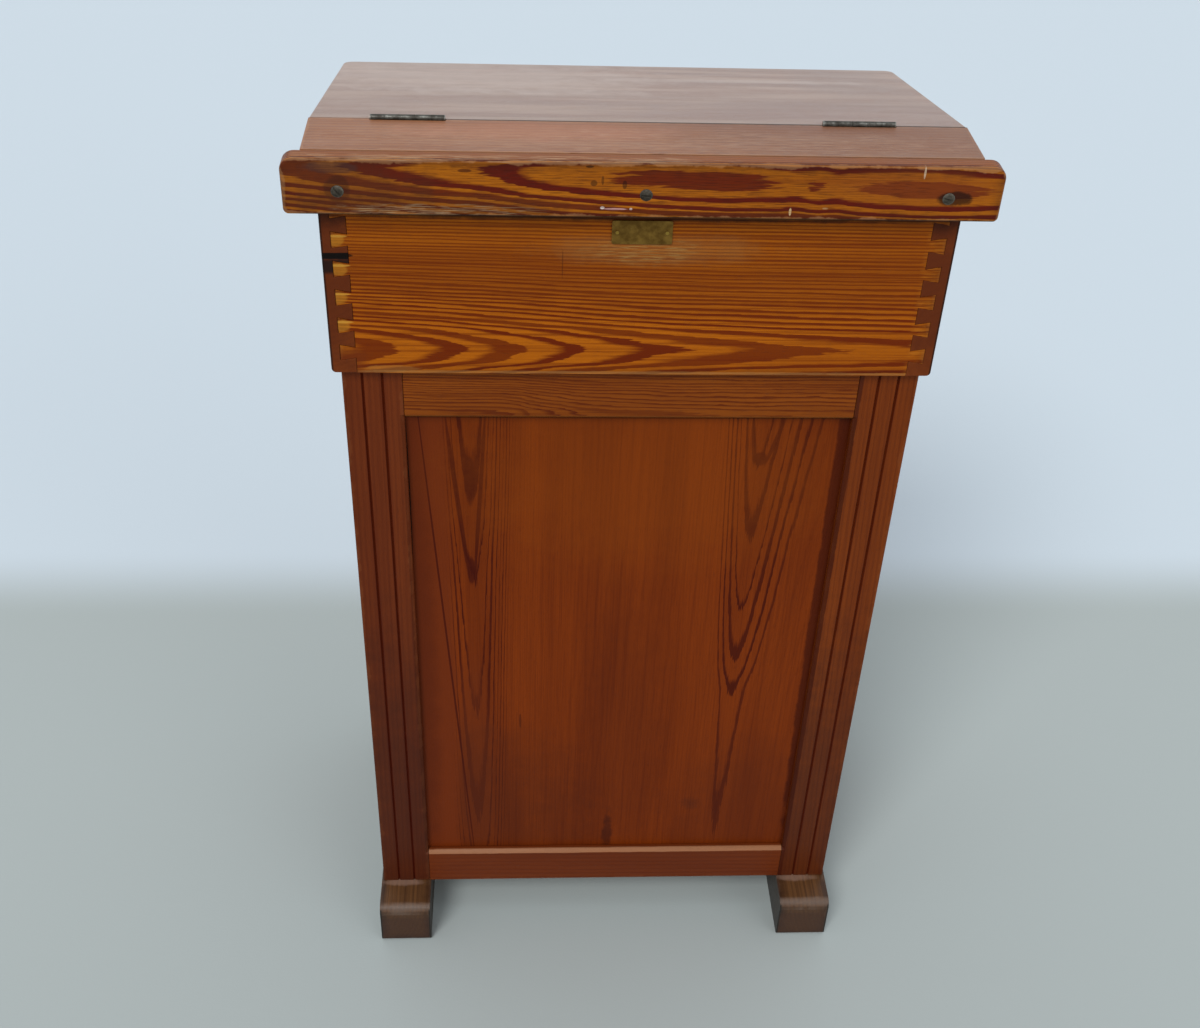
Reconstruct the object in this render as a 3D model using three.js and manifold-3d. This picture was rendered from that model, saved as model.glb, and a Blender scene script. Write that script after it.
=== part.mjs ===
// A standing desk in pitch pine, of the kind a teacher or a clerk wrote at: a framed cabinet on two
// sled feet, a dovetailed desk box above it, and a sloping lid hinged to a fixed strip at its high edge.
// Millimetres. X runs left to right as the closed high side is seen, Y away from that side, Z up.
// The origin is on the ground in the middle of the feet.

import * as THREE from "three";
import { mergeVertices } from "three/addons/utils/BufferGeometryUtils.js";
import Module from "manifold-3d";

const wasm = await Module();
wasm.setup();

// Clearances
const FIT = 0.3;                    // between two pieces that touch
const SEAM = 0.8;                   // between the strip and the lid
const DOOR_GAP = 1.5;               // round the door
const OVERCUT = 1;                  // how far a cutter runs past what it cuts

// Sled feet
const FOOT_HEIGHT = 65;
const FOOT_WIDTH = 65;
const FOOT_OVERHANG = 46;           // beyond the cabinet, front and rear
const FOOT_PROUD = 3;               // beyond the cabinet's side
const FOOT_NOSE_RADIUS = 11;
const FOOT_HEEL_CHAMFER = 3;

// Cabinet
const CABINET_WIDTH = 584;
const CABINET_DEPTH = 350;
const CABINET_HEIGHT = 797;
const FRONT_FRAME_THICKNESS = 24;
const SIDE_FRAME_THICKNESS = 20;
const REAR_RAIL_THICKNESS = 22;
const STILE_WIDTH = 60;
const TOP_RAIL_HEIGHT = 61;
const BOTTOM_RAIL_HEIGHT = 56;
const OPENING_CHAMFER = 4;
const REED_PITCH = 20;              // from the stile's outer edge to a groove, and on to the next
const REED_COUNT = 2;
const REED_GROOVE_WIDTH = 3;
const REED_GROOVE_DEPTH = 2.6;
const TENON_LENGTH = 30;
const TENON_THICKNESS = 8;
const TENON_SHOULDER = 9;           // from a rail's outer edge
const TENON_HAUNCH = 2;             // from the panel's groove
const REAR_TENON_LENGTH = 10;

// Panels, loose in their grooves
const PANEL_THICKNESS = 8;
const PANEL_TONGUE = 9;
const PANEL_ROOM = 1;               // left in the groove for the panel to swell
const FRONT_PANEL_RECESS = 10;
const SIDE_PANEL_RECESS = 8;

// Cabinet floor and shelf
const FLOOR_THICKNESS = 16;
const FLOOR_STEP = 16;              // its top, below that of the bottom rails
const FLOOR_HOUSING = 6;
const SHELF_THICKNESS = 16;
const SHELF_OVER_LOCK = 39;
const SHELF_SIDE_GAP = 1;
const CLEAT_SIZE = 18;
const CLEAT_END_GAP = 12;

// Door
const DOOR_THICKNESS = 22;
const DOOR_TOP_RAIL_HEIGHT = 60;
const DOOR_BOTTOM_RAIL_HEIGHT = 70;
const DOOR_HINGE_INSET = 95;        // from the door's end to the middle of a hinge

// Desk box
const BOX_SIDE_OVERHANG = 8;
const BOX_FRONT_OVERHANG = 10;
const BOX_REAR_OVERHANG = 10;
const BOX_HEIGHT = 215;             // at the high side, to the strip
const BOX_SIDE_THICKNESS = 25;
const BOX_END_THICKNESS = 22;
const BOX_EDGE_RADIUS = 4.5;        // the worn lower edge of each side
const TAIL_LENGTH = 15;
const TAIL_WIDTH = 14;
const TAIL_FLARE = 1.5;
const TAIL_PITCH = 30.6;
const END_PIN = 16;                 // the lowest pin, and the least left for the highest
const BOX_FLOOR_THICKNESS = 12;
const BOX_FLOOR_RISE = 10;
const BOX_FLOOR_HOUSING = 7;

// Strip, lid and ledge
const TOP_THICKNESS = 20;
const TOP_SIDE_OVERHANG = 11;
const STRIP_DEPTH = 70;
const LID_SLOPE = THREE.MathUtils.degToRad(12);
const LID_REAR_OVERHANG = 14;
const LID_CORNER_RADIUS = 12;
const LID_ARRIS = 2;
const BATTEN_WIDTH = 42;
const BATTEN_THICKNESS = 12;
const BATTEN_SPREAD = 170;          // from the middle of the lid
const BATTEN_FRONT_GAP = 28;        // from the seam
const BATTEN_REAR_GAP = 20;         // from the box's rear board
const LEDGE_SIDE_OVERHANG = 28;     // beyond the box
const LEDGE_HEIGHT = 54;
const LEDGE_THICKNESS = 20;
const LEDGE_TOP_RADIUS = 12;
const LEDGE_BOTTOM_RADIUS = 5;
const LEDGE_ARRIS = 2;

// Screws of the ledge
const SCREW_HEAD_RADIUS = 5.8;
const SCREW_HEAD_DEPTH = 3;
const SCREW_DOME = 1.2;
const SCREW_SHOULDER = 2.2;         // from the head's edge to the ring that shapes its dome
const SCREW_RING_RISE = 0.84;       // of that ring, from the head's edge
const SCREW_SLOT_WIDTH = 1.3;
const SCREW_SLOT_DEPTH = 1.2;
const SCREW_SHANK_RADIUS = 2.1;
const SCREW_LENGTH = 36;
const SCREW_DROP = 31;              // below the ledge's top
const SCREW_INSET = 50;             // from the ledge's end
const SCREW_TURNS = { left: 50, middle: 6, right: 12 };     // of their slots, in degrees

// Brass plate
const PLATE_WIDTH = 57;
const PLATE_HEIGHT = 24;
const PLATE_THICKNESS = 1.2;
const PLATE_DROP = 12;              // below the ledge
const PLATE_RADIUS = 2;
const PLATE_PIN_RADIUS = 1.8;
const PLATE_PIN_RISE = 0.7;
const PLATE_PIN_INSET = 5;

// Butt hinges
const HINGE_LENGTH = 70;
const KNUCKLE_RADIUS = 3;
const KNUCKLE_COUNT = 5;
const KNUCKLE_RISE = 1;             // from the face of the wood to the pin's axis
const LEAF_THICKNESS = 1.6;
const LEAF_DEPTH = 17;
const LEAF_PROUD = 0.1;             // of the wood's edge
const PIN_RADIUS = 1.3;
const PIN_CLEARANCE = 0.25;
const LEFT_HINGE_INSET = 92;        // from the end of the strip to the middle of the hinge
const RIGHT_HINGE_INSET = 104;

// Door lock
const LOCK_SETBACK = 1;             // of the lock's face, from the door's edge
const LOCK_WIDTH = 58;
const LOCK_HEIGHT = 50;
const LOCK_THICKNESS = 12;
const LOCK_WALL = 2.4;
const BOLT_LENGTH = 44;
const BOLT_HEIGHT = 10;
const BOLT_THICKNESS = 5.6;
const BOLT_THROW = 7;
const BOLT_ROOM = 0.8;              // round the bolt in its strike
const STRIKE_HEIGHT = 46;
const STRIKE_WIDTH = 16;
const STRIKE_THICKNESS = 1.5;

// Key
const KEY_BACKSET = 30;             // from the door's edge to the key's axis
const KEY_SHANK_RADIUS = 2.6;
const KEY_BIT_REACH = 8;
const KEY_BIT_THICKNESS = 2.4;
const KEY_BIT_CLEARANCE = 0.5;
const KEY_COLLAR_RADIUS = 4;
const KEY_COLLAR_LENGTH = 3;
const KEY_COLLAR_GAP = 2;           // from the escutcheon
const KEY_STEM_LENGTH = 13;         // from the escutcheon to the bow
const KEY_BOW_WIDTH = 24;
const KEY_BOW_HEIGHT = 28;
const KEY_BOW_RING = 4.5;
const KEY_BOW_THICKNESS = 3.4;
const KEYHOLE_CLEARANCE = 1;        // round the shank
const KEYHOLE_SLOT_CLEARANCE = 0.6; // beside the bit
const ESCUTCHEON_WIDTH = 18;
const ESCUTCHEON_HEIGHT = 36;
const ESCUTCHEON_THICKNESS = 1.4;

// Facets round a full circle
const FINE_SIDES = 24;
const ROUND_SIDES = 16;
const SMALL_SIDES = 12;
const CORNER_SEGMENTS = 5;
const ARRIS_SEGMENTS = 2;

// Places that the pieces share
const halfWidth = CABINET_WIDTH / 2;
const halfDepth = CABINET_DEPTH / 2;
const cabinetZ = FOOT_HEIGHT + FIT;
const cabinetTopZ = cabinetZ + CABINET_HEIGHT;
const innerX = halfWidth - SIDE_FRAME_THICKNESS;
const frontInnerY = -halfDepth + FRONT_FRAME_THICKNESS;
const rearInnerY = halfDepth - REAR_RAIL_THICKNESS;
const boxHalfWidth = halfWidth + BOX_SIDE_OVERHANG;
const boxInnerX = boxHalfWidth - BOX_SIDE_THICKNESS;
const boxFrontY = -halfDepth - BOX_FRONT_OVERHANG;
const boxRearY = halfDepth + BOX_REAR_OVERHANG;
const boxFrontSpan = [boxFrontY, boxFrontY + BOX_END_THICKNESS];
const boxRearSpan = [boxRearY - BOX_END_THICKNESS, boxRearY];
const boxZ = cabinetTopZ + FIT;
const stripZ = boxZ + BOX_HEIGHT + FIT;
const topZ = stripZ + TOP_THICKNESS;
const topHalfWidth = boxHalfWidth + TOP_SIDE_OVERHANG;
const seamY = boxFrontY + STRIP_DEPTH + SEAM / 2;
const ledgeHalfWidth = boxHalfWidth + LEDGE_SIDE_OVERHANG;
const ledgeBackY = boxFrontY - FIT;
const ledgeFrontY = ledgeBackY - LEDGE_THICKNESS;
const doorWidth = 2 * (innerX - DOOR_GAP);
const doorHeight = CABINET_HEIGHT - TOP_RAIL_HEIGHT - BOTTOM_RAIL_HEIGHT - 2 * DOOR_GAP;
const doorZ = cabinetZ + BOTTOM_RAIL_HEIGHT + DOOR_GAP;
const doorInnerY = halfDepth - DOOR_THICKNESS;
const lockZ = doorZ + doorHeight / 2;
const lockEdgeX = -doorWidth / 2 + LOCK_SETBACK;
const lockY = [doorInnerY - FIT - LOCK_THICKNESS, doorInnerY - FIT];
const keyX = -doorWidth / 2 + KEY_BACKSET;
const escutcheonY = [halfDepth + FIT, halfDepth + FIT + ESCUTCHEON_THICKNESS];

const materials = {
  ledge: new THREE.MeshStandardMaterial({ color: 0x8a4716, roughness: 0.38, metalness: 0 }),
  box: new THREE.MeshStandardMaterial({ color: 0x8c4a12, roughness: 0.42, metalness: 0 }),
  frame: new THREE.MeshStandardMaterial({ color: 0x6e2f12, roughness: 0.42, metalness: 0 }),
  panel: new THREE.MeshStandardMaterial({ color: 0x722c0c, roughness: 0.4, metalness: 0 }),
  top: new THREE.MeshStandardMaterial({ color: 0x96664f, roughness: 0.45, metalness: 0 }),
  foot: new THREE.MeshStandardMaterial({ color: 0x5b3622, roughness: 0.5, metalness: 0 }),
  inside: new THREE.MeshStandardMaterial({ color: 0xa9743f, roughness: 0.6, metalness: 0 }),
  iron: new THREE.MeshStandardMaterial({ color: 0x453d34, roughness: 0.5, metalness: 0.8 }),
  steel: new THREE.MeshStandardMaterial({ color: 0x6b6459, roughness: 0.45, metalness: 0.8 }),
  brass: new THREE.MeshStandardMaterial({ color: 0x7d6526, roughness: 0.42, metalness: 0.8 }),
};

// Spans

function grown([low, high], by) {
  return [low - by, high + by];
}

function ordered(a, b) {
  return [Math.min(a, b), Math.max(a, b)];
}

function around(middle, size) {
  return [middle - size / 2, middle + size / 2];
}

// Solids

// A closed three.js geometry, as a solid that can be joined and cut.
function solid(geometry, frame) {
  const bare = geometry.index ? geometry.toNonIndexed() : geometry.clone();
  bare.deleteAttribute("normal");
  bare.deleteAttribute("uv");
  if (frame) {
    bare.applyMatrix4(frame);
  }
  const merged = mergeVertices(bare, 1e-4);
  const triVerts = new Uint32Array(merged.index.array);
  const vertProperties = merged.attributes.position.array;
  return new wasm.Manifold(new wasm.Mesh({ numProp: 3, vertProperties, triVerts }));
}

function joined(solids) {
  return solids.reduce((whole, next) => whole.add(next));
}

function cutFrom(body, cutters) {
  return cutters.reduce((rest, cutter) => rest.subtract(cutter), body);
}

function boxGeometry([x0, x1], [y0, y1], [z0, z1]) {
  const geometry = new THREE.BoxGeometry(x1 - x0, y1 - y0, z1 - z0);
  return geometry.translate((x0 + x1) / 2, (y0 + y1) / 2, (z0 + z1) / 2);
}

function block(x, y, z, frame) {
  return solid(boxGeometry(x, y, z), frame);
}

// A block whose face at the low Y is wider by `spread` all round.
function flaredBlock(x, y, z, spread, frame) {
  const geometry = boxGeometry(x, y, z);
  const corners = geometry.attributes.position;
  const middle = { x: (x[0] + x[1]) / 2, y: (y[0] + y[1]) / 2, z: (z[0] + z[1]) / 2 };
  for (let i = 0; i < corners.count; i += 1) {
    if (corners.getY(i) < middle.y) {
      corners.setX(i, corners.getX(i) + spread * Math.sign(corners.getX(i) - middle.x));
      corners.setZ(i, corners.getZ(i) + spread * Math.sign(corners.getZ(i) - middle.z));
    }
  }
  return solid(geometry, frame);
}

function outline(points) {
  return new THREE.Shape(points.map(([a, b]) => new THREE.Vector2(a, b)));
}

function roundedRectangle([a0, a1], [b0, b1], lowRadius, highRadius) {
  const shape = new THREE.Shape();
  shape.moveTo(a0 + lowRadius, b0);
  shape.lineTo(a1 - lowRadius, b0);
  shape.absarc(a1 - lowRadius, b0 + lowRadius, lowRadius, -Math.PI / 2, 0);
  shape.lineTo(a1, b1 - highRadius);
  shape.absarc(a1 - highRadius, b1 - highRadius, highRadius, 0, Math.PI / 2);
  shape.lineTo(a0 + highRadius, b1);
  shape.absarc(a0 + highRadius, b1 - highRadius, highRadius, Math.PI / 2, Math.PI);
  shape.lineTo(a0, b0 + lowRadius);
  shape.absarc(a0 + lowRadius, b0 + lowRadius, lowRadius, Math.PI, 1.5 * Math.PI);
  return shape;
}

// A shape drawn out over `depth`, with its arrises rounded where `arris` is more than nothing.
function drawnOut(shape, depth, arris = 0) {
  const geometry = new THREE.ExtrudeGeometry(shape, {
    depth: depth - 2 * arris,
    bevelEnabled: arris > 0,
    bevelThickness: arris,
    bevelSize: arris,
    bevelOffset: -arris,
    bevelSegments: ARRIS_SEGMENTS,
    curveSegments: CORNER_SEGMENTS,
  });
  return geometry.translate(0, 0, arris);
}

// A shape in Y and Z, drawn out along X.
function prismAlongX(shape, [x0, x1]) {
  const geometry = drawnOut(shape, x1 - x0);
  return solid(geometry.rotateY(Math.PI / 2).rotateX(Math.PI / 2).translate(x0, 0, 0));
}

// A shape in X and Z, drawn out along Y.
function prismAlongY(shape, [y0, y1], arris) {
  return solid(drawnOut(shape, y1 - y0, arris).rotateX(Math.PI / 2).translate(0, y1, 0));
}

// A round bar along Y, with its centre at X and Z.
function barAlongY(radius, [y0, y1], [x, z], sides) {
  const geometry = new THREE.CylinderGeometry(radius, radius, y1 - y0, sides);
  return solid(geometry.translate(x, (y0 + y1) / 2, z));
}

function barAlongX(radius, [x0, x1], sides, frame) {
  const geometry = new THREE.CylinderGeometry(radius, radius, x1 - x0, sides);
  return solid(geometry.rotateZ(-Math.PI / 2).translate((x0 + x1) / 2, 0, 0), frame);
}

function piece(name, body, material) {
  const { vertProperties, triVerts } = body.getMesh();
  const geometry = new THREE.BufferGeometry();
  geometry.setAttribute("position", new THREE.BufferAttribute(new Float32Array(vertProperties), 3));
  geometry.setIndex(new THREE.BufferAttribute(new Uint32Array(triVerts), 1));
  geometry.computeVertexNormals();
  const mesh = new THREE.Mesh(geometry, material);
  mesh.name = name;
  return mesh;
}

// Frame and panel

// One frame of two stiles and two rails, with a panel in their grooves. In its own axes X is its width,
// Z its height, and Y runs in from the face that shows. The rails are tenoned into the stiles.
function framedPanel({ width, height, thickness, topRail, bottomRail, recess, reeds, frame }) {
  const tenonY = around(thickness / 2, TENON_THICKNESS);
  const grooveDepth = PANEL_TONGUE + PANEL_ROOM;
  const openingX = [STILE_WIDTH, width - STILE_WIDTH];
  const openingZ = [bottomRail, height - topRail];
  const panelY = [recess, recess + PANEL_THICKNESS];
  const tenonZ = {
    top: [height - topRail + grooveDepth + TENON_HAUNCH, height - TENON_SHOULDER],
    bottom: [TENON_SHOULDER, bottomRail - grooveDepth - TENON_HAUNCH],
  };
  const chamfer = flaredBlock(openingX, [0, OPENING_CHAMFER], openingZ, OPENING_CHAMFER, frame);
  const groove = block(grown(openingX, grooveDepth), grown(panelY, FIT), grown(openingZ, grooveDepth), frame);

  const stile = (atStart) => {
    const across = (a, b) => (atStart ? [a, b] : [width - b, width - a]);
    const mortiseX = across(STILE_WIDTH - TENON_LENGTH - FIT, STILE_WIDTH + OVERCUT);
    const mortise = (z) => block(mortiseX, grown(tenonY, FIT), grown(z, FIT), frame);
    const cuts = [groove, chamfer, mortise(tenonZ.top), mortise(tenonZ.bottom)];
    for (let i = 1; reeds && i <= REED_COUNT; i += 1) {
      cuts.push(reedGroove(atStart ? i * REED_PITCH : width - i * REED_PITCH, height, frame));
    }
    return cutFrom(block(across(0, STILE_WIDTH), [0, thickness], [0, height], frame), cuts);
  };

  const rail = (z, tenon) => {
    const shoulders = block(grown(openingX, -FIT), [0, thickness], z, frame);
    const tenons = block(grown(openingX, TENON_LENGTH), tenonY, tenon, frame);
    return cutFrom(shoulders.add(tenons), [groove, chamfer]);
  };

  return {
    startStile: stile(true),
    endStile: stile(false),
    topRail: rail([height - topRail, height], tenonZ.top),
    bottomRail: rail([0, bottomRail], tenonZ.bottom),
    panel: block(grown(openingX, PANEL_TONGUE), panelY, grown(openingZ, PANEL_TONGUE), frame),
  };
}

// The V groove down the face of a stile.
function reedGroove(x, height, frame) {
  const slope = REED_GROOVE_WIDTH / 2 / REED_GROOVE_DEPTH;
  const shape = outline([
    [x - REED_GROOVE_WIDTH / 2 - slope * OVERCUT, -OVERCUT],
    [x, REED_GROOVE_DEPTH],
    [x + REED_GROOVE_WIDTH / 2 + slope * OVERCUT, -OVERCUT],
  ]);
  return solid(drawnOut(shape, height + 2 * OVERCUT).translate(0, 0, -OVERCUT), frame);
}

// Where a frame stands: turned about Z, with its lower outer corner at a point.
function standing(turn, x, y, z) {
  return new THREE.Matrix4().makeTranslation(x, y, z).multiply(new THREE.Matrix4().makeRotationZ(turn));
}

// Butt hinges

// A butt hinge about its own X axis. Its leaves hang down from the pin, the fixed one on the -Y side.
function buttHinge(gap, frame) {
  const ends = around(0, HINGE_LENGTH);
  const knuckleLength = HINGE_LENGTH / KNUCKLE_COUNT;
  const face = gap / 2 - LEAF_PROUD;
  const bore = barAlongX(PIN_RADIUS + PIN_CLEARANCE, grown(ends, OVERCUT), ROUND_SIDES, frame);

  const leaf = (side, first) => {
    const y = ordered(side * face, side * (face + LEAF_THICKNESS));
    const parts = [block(ends, y, [-LEAF_DEPTH, -KNUCKLE_RADIUS - FIT], frame)];
    for (let i = first; i < KNUCKLE_COUNT; i += 2) {
      const start = ends[0] + i * knuckleLength;
      const x = grown([start, start + knuckleLength], -FIT / 2);
      parts.push(block(x, y, [-KNUCKLE_RADIUS - 2 * FIT, 0], frame));
      parts.push(barAlongX(KNUCKLE_RADIUS, x, ROUND_SIDES, frame));
    }
    return joined(parts).subtract(bore);
  };

  const recess = (side) => {
    const y = ordered(0, side * (face + LEAF_THICKNESS + FIT));
    const bed = block(grown(ends, FIT), y, [-LEAF_DEPTH - FIT, 0], frame);
    return bed.add(barAlongX(KNUCKLE_RADIUS + 2 * FIT, grown(ends, FIT), ROUND_SIDES, frame));
  };

  return {
    fixedLeaf: leaf(-1, 0),
    movingLeaf: leaf(1, 1),
    pin: barAlongX(PIN_RADIUS, ends, SMALL_SIDES, frame),
    fixedRecess: recess(-1),
    movingRecess: recess(1),
  };
}

function lidHinge(x) {
  return buttHinge(SEAM, new THREE.Matrix4().makeTranslation(x, seamY, topZ + KNUCKLE_RISE));
}

// A door hinge stands upright: its X axis points down, and its leaves reach in from the rear face.
function doorHinge(z) {
  const upright = new THREE.Matrix4().makeBasis(
    new THREE.Vector3(0, 0, -1),
    new THREE.Vector3(-1, 0, 0),
    new THREE.Vector3(0, 1, 0),
  );
  const place = new THREE.Matrix4().makeTranslation(innerX - DOOR_GAP / 2, halfDepth + KNUCKLE_RISE, z);
  return buttHinge(DOOR_GAP, place.multiply(upright));
}

const lidHinges = {
  left: lidHinge(-topHalfWidth + LEFT_HINGE_INSET),
  right: lidHinge(topHalfWidth - RIGHT_HINGE_INSET),
};

const doorHinges = {
  upper: doorHinge(doorZ + doorHeight - DOOR_HINGE_INSET),
  lower: doorHinge(doorZ + DOOR_HINGE_INSET),
};

function hingePieces(place, hinges, fixedTo, movingWith) {
  return Object.entries(hinges).flatMap(([which, hinge]) => {
    const name = `${place}_hinge_${which}`;
    return [
      piece(`${name}_${fixedTo}_leaf`, hinge.fixedLeaf, materials.iron),
      piece(`${name}_${movingWith}_leaf`, hinge.movingLeaf, materials.iron),
      piece(`${name}_pin`, hinge.pin, materials.iron),
    ];
  });
}

// Sled feet

function foot(side) {
  const outerX = side * (halfWidth + FOOT_PROUD);
  const end = halfDepth + FOOT_OVERHANG;
  const radius = FOOT_NOSE_RADIUS;
  const shape = new THREE.Shape();
  shape.moveTo(-end + FOOT_HEEL_CHAMFER, 0);
  shape.lineTo(end - FOOT_HEEL_CHAMFER, 0);
  shape.lineTo(end, FOOT_HEEL_CHAMFER);
  shape.lineTo(end, FOOT_HEIGHT - radius);
  shape.absarc(end - radius, FOOT_HEIGHT - radius, radius, 0, Math.PI / 2);
  shape.lineTo(-end + radius, FOOT_HEIGHT);
  shape.absarc(-end + radius, FOOT_HEIGHT - radius, radius, Math.PI / 2, Math.PI);
  shape.lineTo(-end, FOOT_HEEL_CHAMFER);
  return prismAlongX(shape, ordered(outerX, outerX - side * FOOT_WIDTH));
}

// Cabinet

const floorTopZ = cabinetZ + BOTTOM_RAIL_HEIGHT - FLOOR_STEP;
const floorX = grown([-innerX, innerX], FLOOR_HOUSING);
const floorY = grown([frontInnerY, rearInnerY], FLOOR_HOUSING);
const floorZ = [floorTopZ - FLOOR_THICKNESS, floorTopZ];
const floorHousing = block(grown(floorX, FIT), grown(floorY, FIT), grown(floorZ, FIT));

const rearTenonX = grown([-innerX, innerX], REAR_TENON_LENGTH);
const rearTenonY = around((rearInnerY + halfDepth) / 2, TENON_THICKNESS);
const rearRailZ = {
  top: [cabinetTopZ - TOP_RAIL_HEIGHT, cabinetTopZ],
  bottom: [cabinetZ, cabinetZ + BOTTOM_RAIL_HEIGHT],
};
const rearTenonZ = {
  top: grown(rearRailZ.top, -TENON_SHOULDER),
  bottom: [cabinetZ + TENON_SHOULDER, floorZ[0] - 2 * FIT],
};

function rearTenon(which, by) {
  return block(grown(rearTenonX, by), grown(rearTenonY, by), grown(rearTenonZ[which], by));
}

function rearRail(which) {
  const shoulders = block(grown([-innerX, innerX], -FIT), [rearInnerY, halfDepth], rearRailZ[which]);
  return shoulders.add(rearTenon(which, 0)).subtract(floorHousing);
}

function frontFrame() {
  const made = framedPanel({
    width: CABINET_WIDTH,
    height: CABINET_HEIGHT,
    thickness: FRONT_FRAME_THICKNESS,
    topRail: TOP_RAIL_HEIGHT,
    bottomRail: BOTTOM_RAIL_HEIGHT,
    recess: FRONT_PANEL_RECESS,
    reeds: true,
    frame: standing(0, -halfWidth, -halfDepth, cabinetZ),
  });
  return [
    piece("front_stile_left", made.startStile.subtract(floorHousing), materials.frame),
    piece("front_stile_right", made.endStile.subtract(floorHousing), materials.frame),
    piece("front_top_rail", made.topRail, materials.frame),
    piece("front_bottom_rail", made.bottomRail.subtract(floorHousing), materials.frame),
    piece("front_panel", made.panel, materials.panel),
  ];
}

// A side frame stands behind the front frame. `doorCuts` are what the door needs in its rear stile.
function sideFrame(side, doorCuts) {
  const name = side < 0 ? "left" : "right";
  const frontY = frontInnerY + FIT;
  const made = framedPanel({
    width: halfDepth - frontY,
    height: CABINET_HEIGHT,
    thickness: SIDE_FRAME_THICKNESS,
    topRail: TOP_RAIL_HEIGHT,
    bottomRail: BOTTOM_RAIL_HEIGHT,
    recess: SIDE_PANEL_RECESS,
    reeds: true,
    frame: standing((side * Math.PI) / 2, side * halfWidth, side < 0 ? halfDepth : frontY, cabinetZ),
  });
  const [front, rear] = side < 0 ? [made.endStile, made.startStile] : [made.startStile, made.endStile];
  const rearCuts = [floorHousing, rearTenon("top", FIT), rearTenon("bottom", FIT), ...doorCuts];
  return [
    piece(`${name}_front_stile`, front.subtract(floorHousing), materials.frame),
    piece(`${name}_rear_stile`, cutFrom(rear, rearCuts), materials.frame),
    piece(`${name}_top_rail`, made.topRail, materials.frame),
    piece(`${name}_bottom_rail`, made.bottomRail.subtract(floorHousing), materials.frame),
    piece(`${name}_panel`, made.panel, materials.panel),
  ];
}

function shelf() {
  const z = lockZ + LOCK_HEIGHT / 2 + SHELF_OVER_LOCK;
  const boardX = grown([-innerX, innerX], -SHELF_SIDE_GAP);
  const boardY = grown([frontInnerY, doorInnerY], -FIT);
  const cleatZ = [z - FIT - CLEAT_SIZE, z - FIT];
  const cleat = (side) => {
    const outerX = side * (innerX - FIT);
    return block(ordered(outerX, outerX - side * CLEAT_SIZE), grown(boardY, -CLEAT_END_GAP), cleatZ);
  };
  return [
    piece("shelf", block(boardX, boardY, [z, z + SHELF_THICKNESS]), materials.inside),
    piece("shelf_cleat_left", cleat(-1), materials.inside),
    piece("shelf_cleat_right", cleat(1), materials.inside),
  ];
}

// Lock and key

const lockMiddleY = (lockY[0] + lockY[1]) / 2;
const boltLowZ = lockZ + KEY_BIT_REACH + KEY_BIT_CLEARANCE;
const boltY = around(lockMiddleY, BOLT_THICKNESS);
const boltZ = [boltLowZ, boltLowZ + BOLT_HEIGHT];
const boltPocketX = [-innerX - BOLT_THROW - BOLT_ROOM, -innerX + OVERCUT];
const boltPocket = block(boltPocketX, grown(boltY, BOLT_ROOM), grown(boltZ, BOLT_ROOM));
const strikeX = [-innerX - STRIKE_THICKNESS, -innerX];
const strikeY = around(lockMiddleY, STRIKE_WIDTH);
const strikeZ = around(boltLowZ + BOLT_HEIGHT / 2, STRIKE_HEIGHT);
const strikeBedX = [strikeX[0] - FIT, strikeX[1] + OVERCUT];
const strikeBed = block(strikeBedX, grown(strikeY, FIT), grown(strikeZ, FIT));

// A hole for the key's shank over a slot for its bit.
function keyhole(y) {
  const slotX = around(keyX, KEY_BIT_THICKNESS + 2 * KEYHOLE_SLOT_CLEARANCE);
  const slot = block(slotX, y, [lockZ - KEY_BIT_REACH - KEYHOLE_CLEARANCE, lockZ]);
  return slot.add(barAlongY(KEY_SHANK_RADIUS + KEYHOLE_CLEARANCE, y, [keyX, lockZ], ROUND_SIDES));
}

function lockCase() {
  const x = [lockEdgeX, lockEdgeX + LOCK_WIDTH];
  const channel = block([x[0] - OVERCUT, x[1] - LOCK_WALL], grown(boltY, FIT), grown(boltZ, FIT));
  const roomRadius = KEY_BIT_REACH + 2 * KEY_BIT_CLEARANCE;
  const room = barAlongY(roomRadius, grown(lockY, -LOCK_WALL), [keyX, lockZ], FINE_SIDES);
  const keyWay = keyhole([lockY[0] + LOCK_WALL, lockY[1] + OVERCUT]);
  return cutFrom(block(x, lockY, around(lockZ, LOCK_HEIGHT)), [channel, room, keyWay]);
}

function key() {
  const tipY = lockY[0] + LOCK_WALL + FIT;
  const bitY = [tipY + FIT, lockY[1] - LOCK_WALL - KEY_BIT_CLEARANCE];
  const collarY = escutcheonY[1] + KEY_COLLAR_GAP;
  const bowStartY = escutcheonY[1] + KEY_STEM_LENGTH;
  const bowY = bowStartY + KEY_BOW_WIDTH / 2;
  const bow = new THREE.Shape();
  const bowHole = new THREE.Path();
  const holeRadii = [KEY_BOW_WIDTH / 2 - KEY_BOW_RING, KEY_BOW_HEIGHT / 2 - KEY_BOW_RING];
  bow.absellipse(bowY, lockZ, KEY_BOW_WIDTH / 2, KEY_BOW_HEIGHT / 2, 0, 2 * Math.PI);
  bowHole.absellipse(bowY, lockZ, ...holeRadii, 0, 2 * Math.PI, true);
  bow.holes.push(bowHole);
  return joined([
    barAlongY(KEY_SHANK_RADIUS, [tipY, bowStartY + KEY_BOW_RING / 2], [keyX, lockZ], SMALL_SIDES),
    barAlongY(KEY_COLLAR_RADIUS, [collarY, collarY + KEY_COLLAR_LENGTH], [keyX, lockZ], SMALL_SIDES),
    block(around(keyX, KEY_BIT_THICKNESS), bitY, [lockZ - KEY_BIT_REACH, lockZ]),
    prismAlongX(bow, around(keyX, KEY_BOW_THICKNESS)),
  ]);
}

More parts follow.
